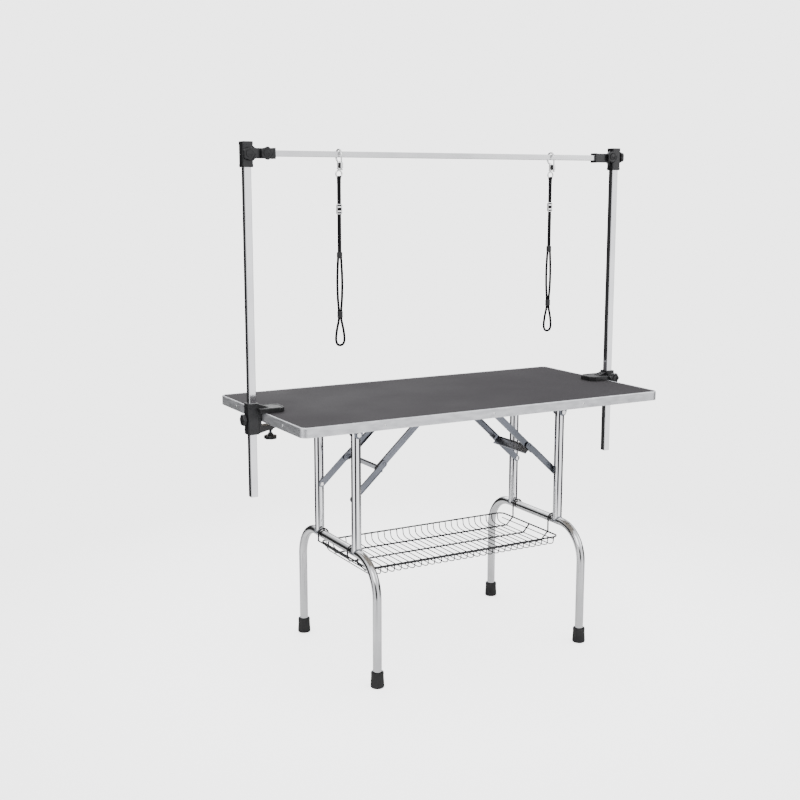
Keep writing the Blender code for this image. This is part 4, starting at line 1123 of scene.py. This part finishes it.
def leash(side):
    """One leash: its snap, webbing with slide and stitches, and the noose with its keeper."""
    x = LEASH_X[side]
    snap(side, x)
    body = "leash_" + side
    fold = arc((0, EYE_Z - EYE_RADIUS), 0.0031, 200, -20, 12)
    eye_turn = [(x, POST_Y + u, v) for u, v in fold]
    band = rounded(STRAP_HALF, 0.0006, 0.0004, 2)
    turn = Piece()
    wrap = [(x, POST_Y - 0.0008, STRAP_TOP - 0.022), (x, POST_Y - 0.0012, STRAP_TOP - 0.004),
            *eye_turn,
            (x, POST_Y + 0.0012, STRAP_TOP - 0.004), (x, POST_Y + 0.0008, STRAP_TOP - 0.022)]
    turn.sweep(wrap, band, (1, 0, 0))
    turn_piece = turn.make("strap_turn_" + side, "strap", body)
    strap = Piece()
    path = [(x, POST_Y, STRAP_TOP + (STRAP_BOTTOM - STRAP_TOP) * k / 40) for k in range(41)]
    strap.sweep(path, rounded(STRAP_HALF, 0.0013, 0.0005, 3), (1, 0, 0))
    strap_piece = strap.make("webbing_" + side, "strap", body, "leash_strap_" + side)
    stitches = Piece()
    for z in (STRAP_TOP - 0.006, STRAP_TOP - 0.014, STRAP_BOTTOM + 0.006, STRAP_BOTTOM + 0.014):
        for face in (-1, 1):
            for k in range(4):
                u = x - 0.0036 + 0.0024 * k
                y = POST_Y + face * (0.0016 if z < 1.2 else 0.0018)
                low, high = (u - 0.0007, y, z - 0.0008), (u + 0.0007, y, z + 0.0008)
                line = [low, (u, y + face * 0.0002, z), high]
                stitches.sweep(line, circle(0.00035, 6), (0, 1, 0))
    stitch_piece = stitches.make("stitches_" + side, "thread", body)
    slide_piece = adjuster(side, x)
    half = smooth(LOOP_ROUTE, 6)
    line = [(x + u, POST_Y, v) for u, v in half]
    line += [(x - u, POST_Y, v) for u, v in reversed(half[:-1])]
    loop = Piece()
    loop.sweep(line, circle(CORD_RADIUS, 20), (0, 1, 0))
    loop_piece = loop.make("noose_" + side, "cord", body, "leash_loop_" + side)
    keeper_piece = moulded_collar(
        "keeper_" + side, body, x, KEEPER_Z, rounded(0.0082, 0.0046, 0.0040, 8),
        ((0.80, -0.0095), (0.96, -0.0085), (1.0, -0.0060), (0.95, 0.0), (1.0, 0.0060),
         (0.96, 0.0085), (0.80, 0.0095)),
    )
    join_piece = moulded_collar(
        "loop_sleeve_" + side, body, x, STRAP_BOTTOM, rounded(0.0078, 0.0042, 0.0032, 6),
        ((0.84, -0.010), (1.0, -0.008), (1.0, 0.006), (0.86, 0.008)),
    )


for side_name in SIDES:
    leash(side_name)


# ----------------------------------------------------------------------- floor

def floor():
    """A pale round floor that fades out well past the table."""
    shape = bmesh.new()
    bmesh.ops.create_circle(shape, cap_ends=True, segments=96, radius=3.2)
    mesh = bpy.data.meshes.new("floor")
    shape.to_mesh(mesh)
    shape.free()
    made = bpy.data.objects.new("floor", mesh)
    made.location.z = -0.0005
    bpy.context.scene.collection.objects.link(made)
    look = Look("floor_paper", Roughness=0.85)
    link = look.tree.links.new
    look.colour(look.mix(look.noise(2.0, 2.0), (0.86, 0.86, 0.86), (0.88, 0.88, 0.88)))
    reach = look.node("ShaderNodeVectorMath", Vector=look.place())
    reach.operation = "LENGTH"
    fade = look.span(reach.outputs["Value"], 0, 1, 0.75, 1.7)
    seen = look.node("ShaderNodeLightPath").outputs["Is Camera Ray"]
    link(look.span(seen, 0, PAPER_GLOW, 0, 1), look.shader.inputs["Emission Strength"])
    look.shader.inputs["Emission Color"].default_value = (1, 1, 1, 1)
    clear = look.node("ShaderNodeBsdfTransparent")
    blend = look.node("ShaderNodeMixShader")
    link(fade, blend.inputs["Fac"])
    link(look.shader.outputs["BSDF"], blend.inputs[1])
    link(clear.outputs["BSDF"], blend.inputs[2])
    out = look.tree.nodes["Material Output"]
    link(blend.outputs["Shader"], out.inputs["Surface"])
    mesh.materials.append(look.material)


floor()
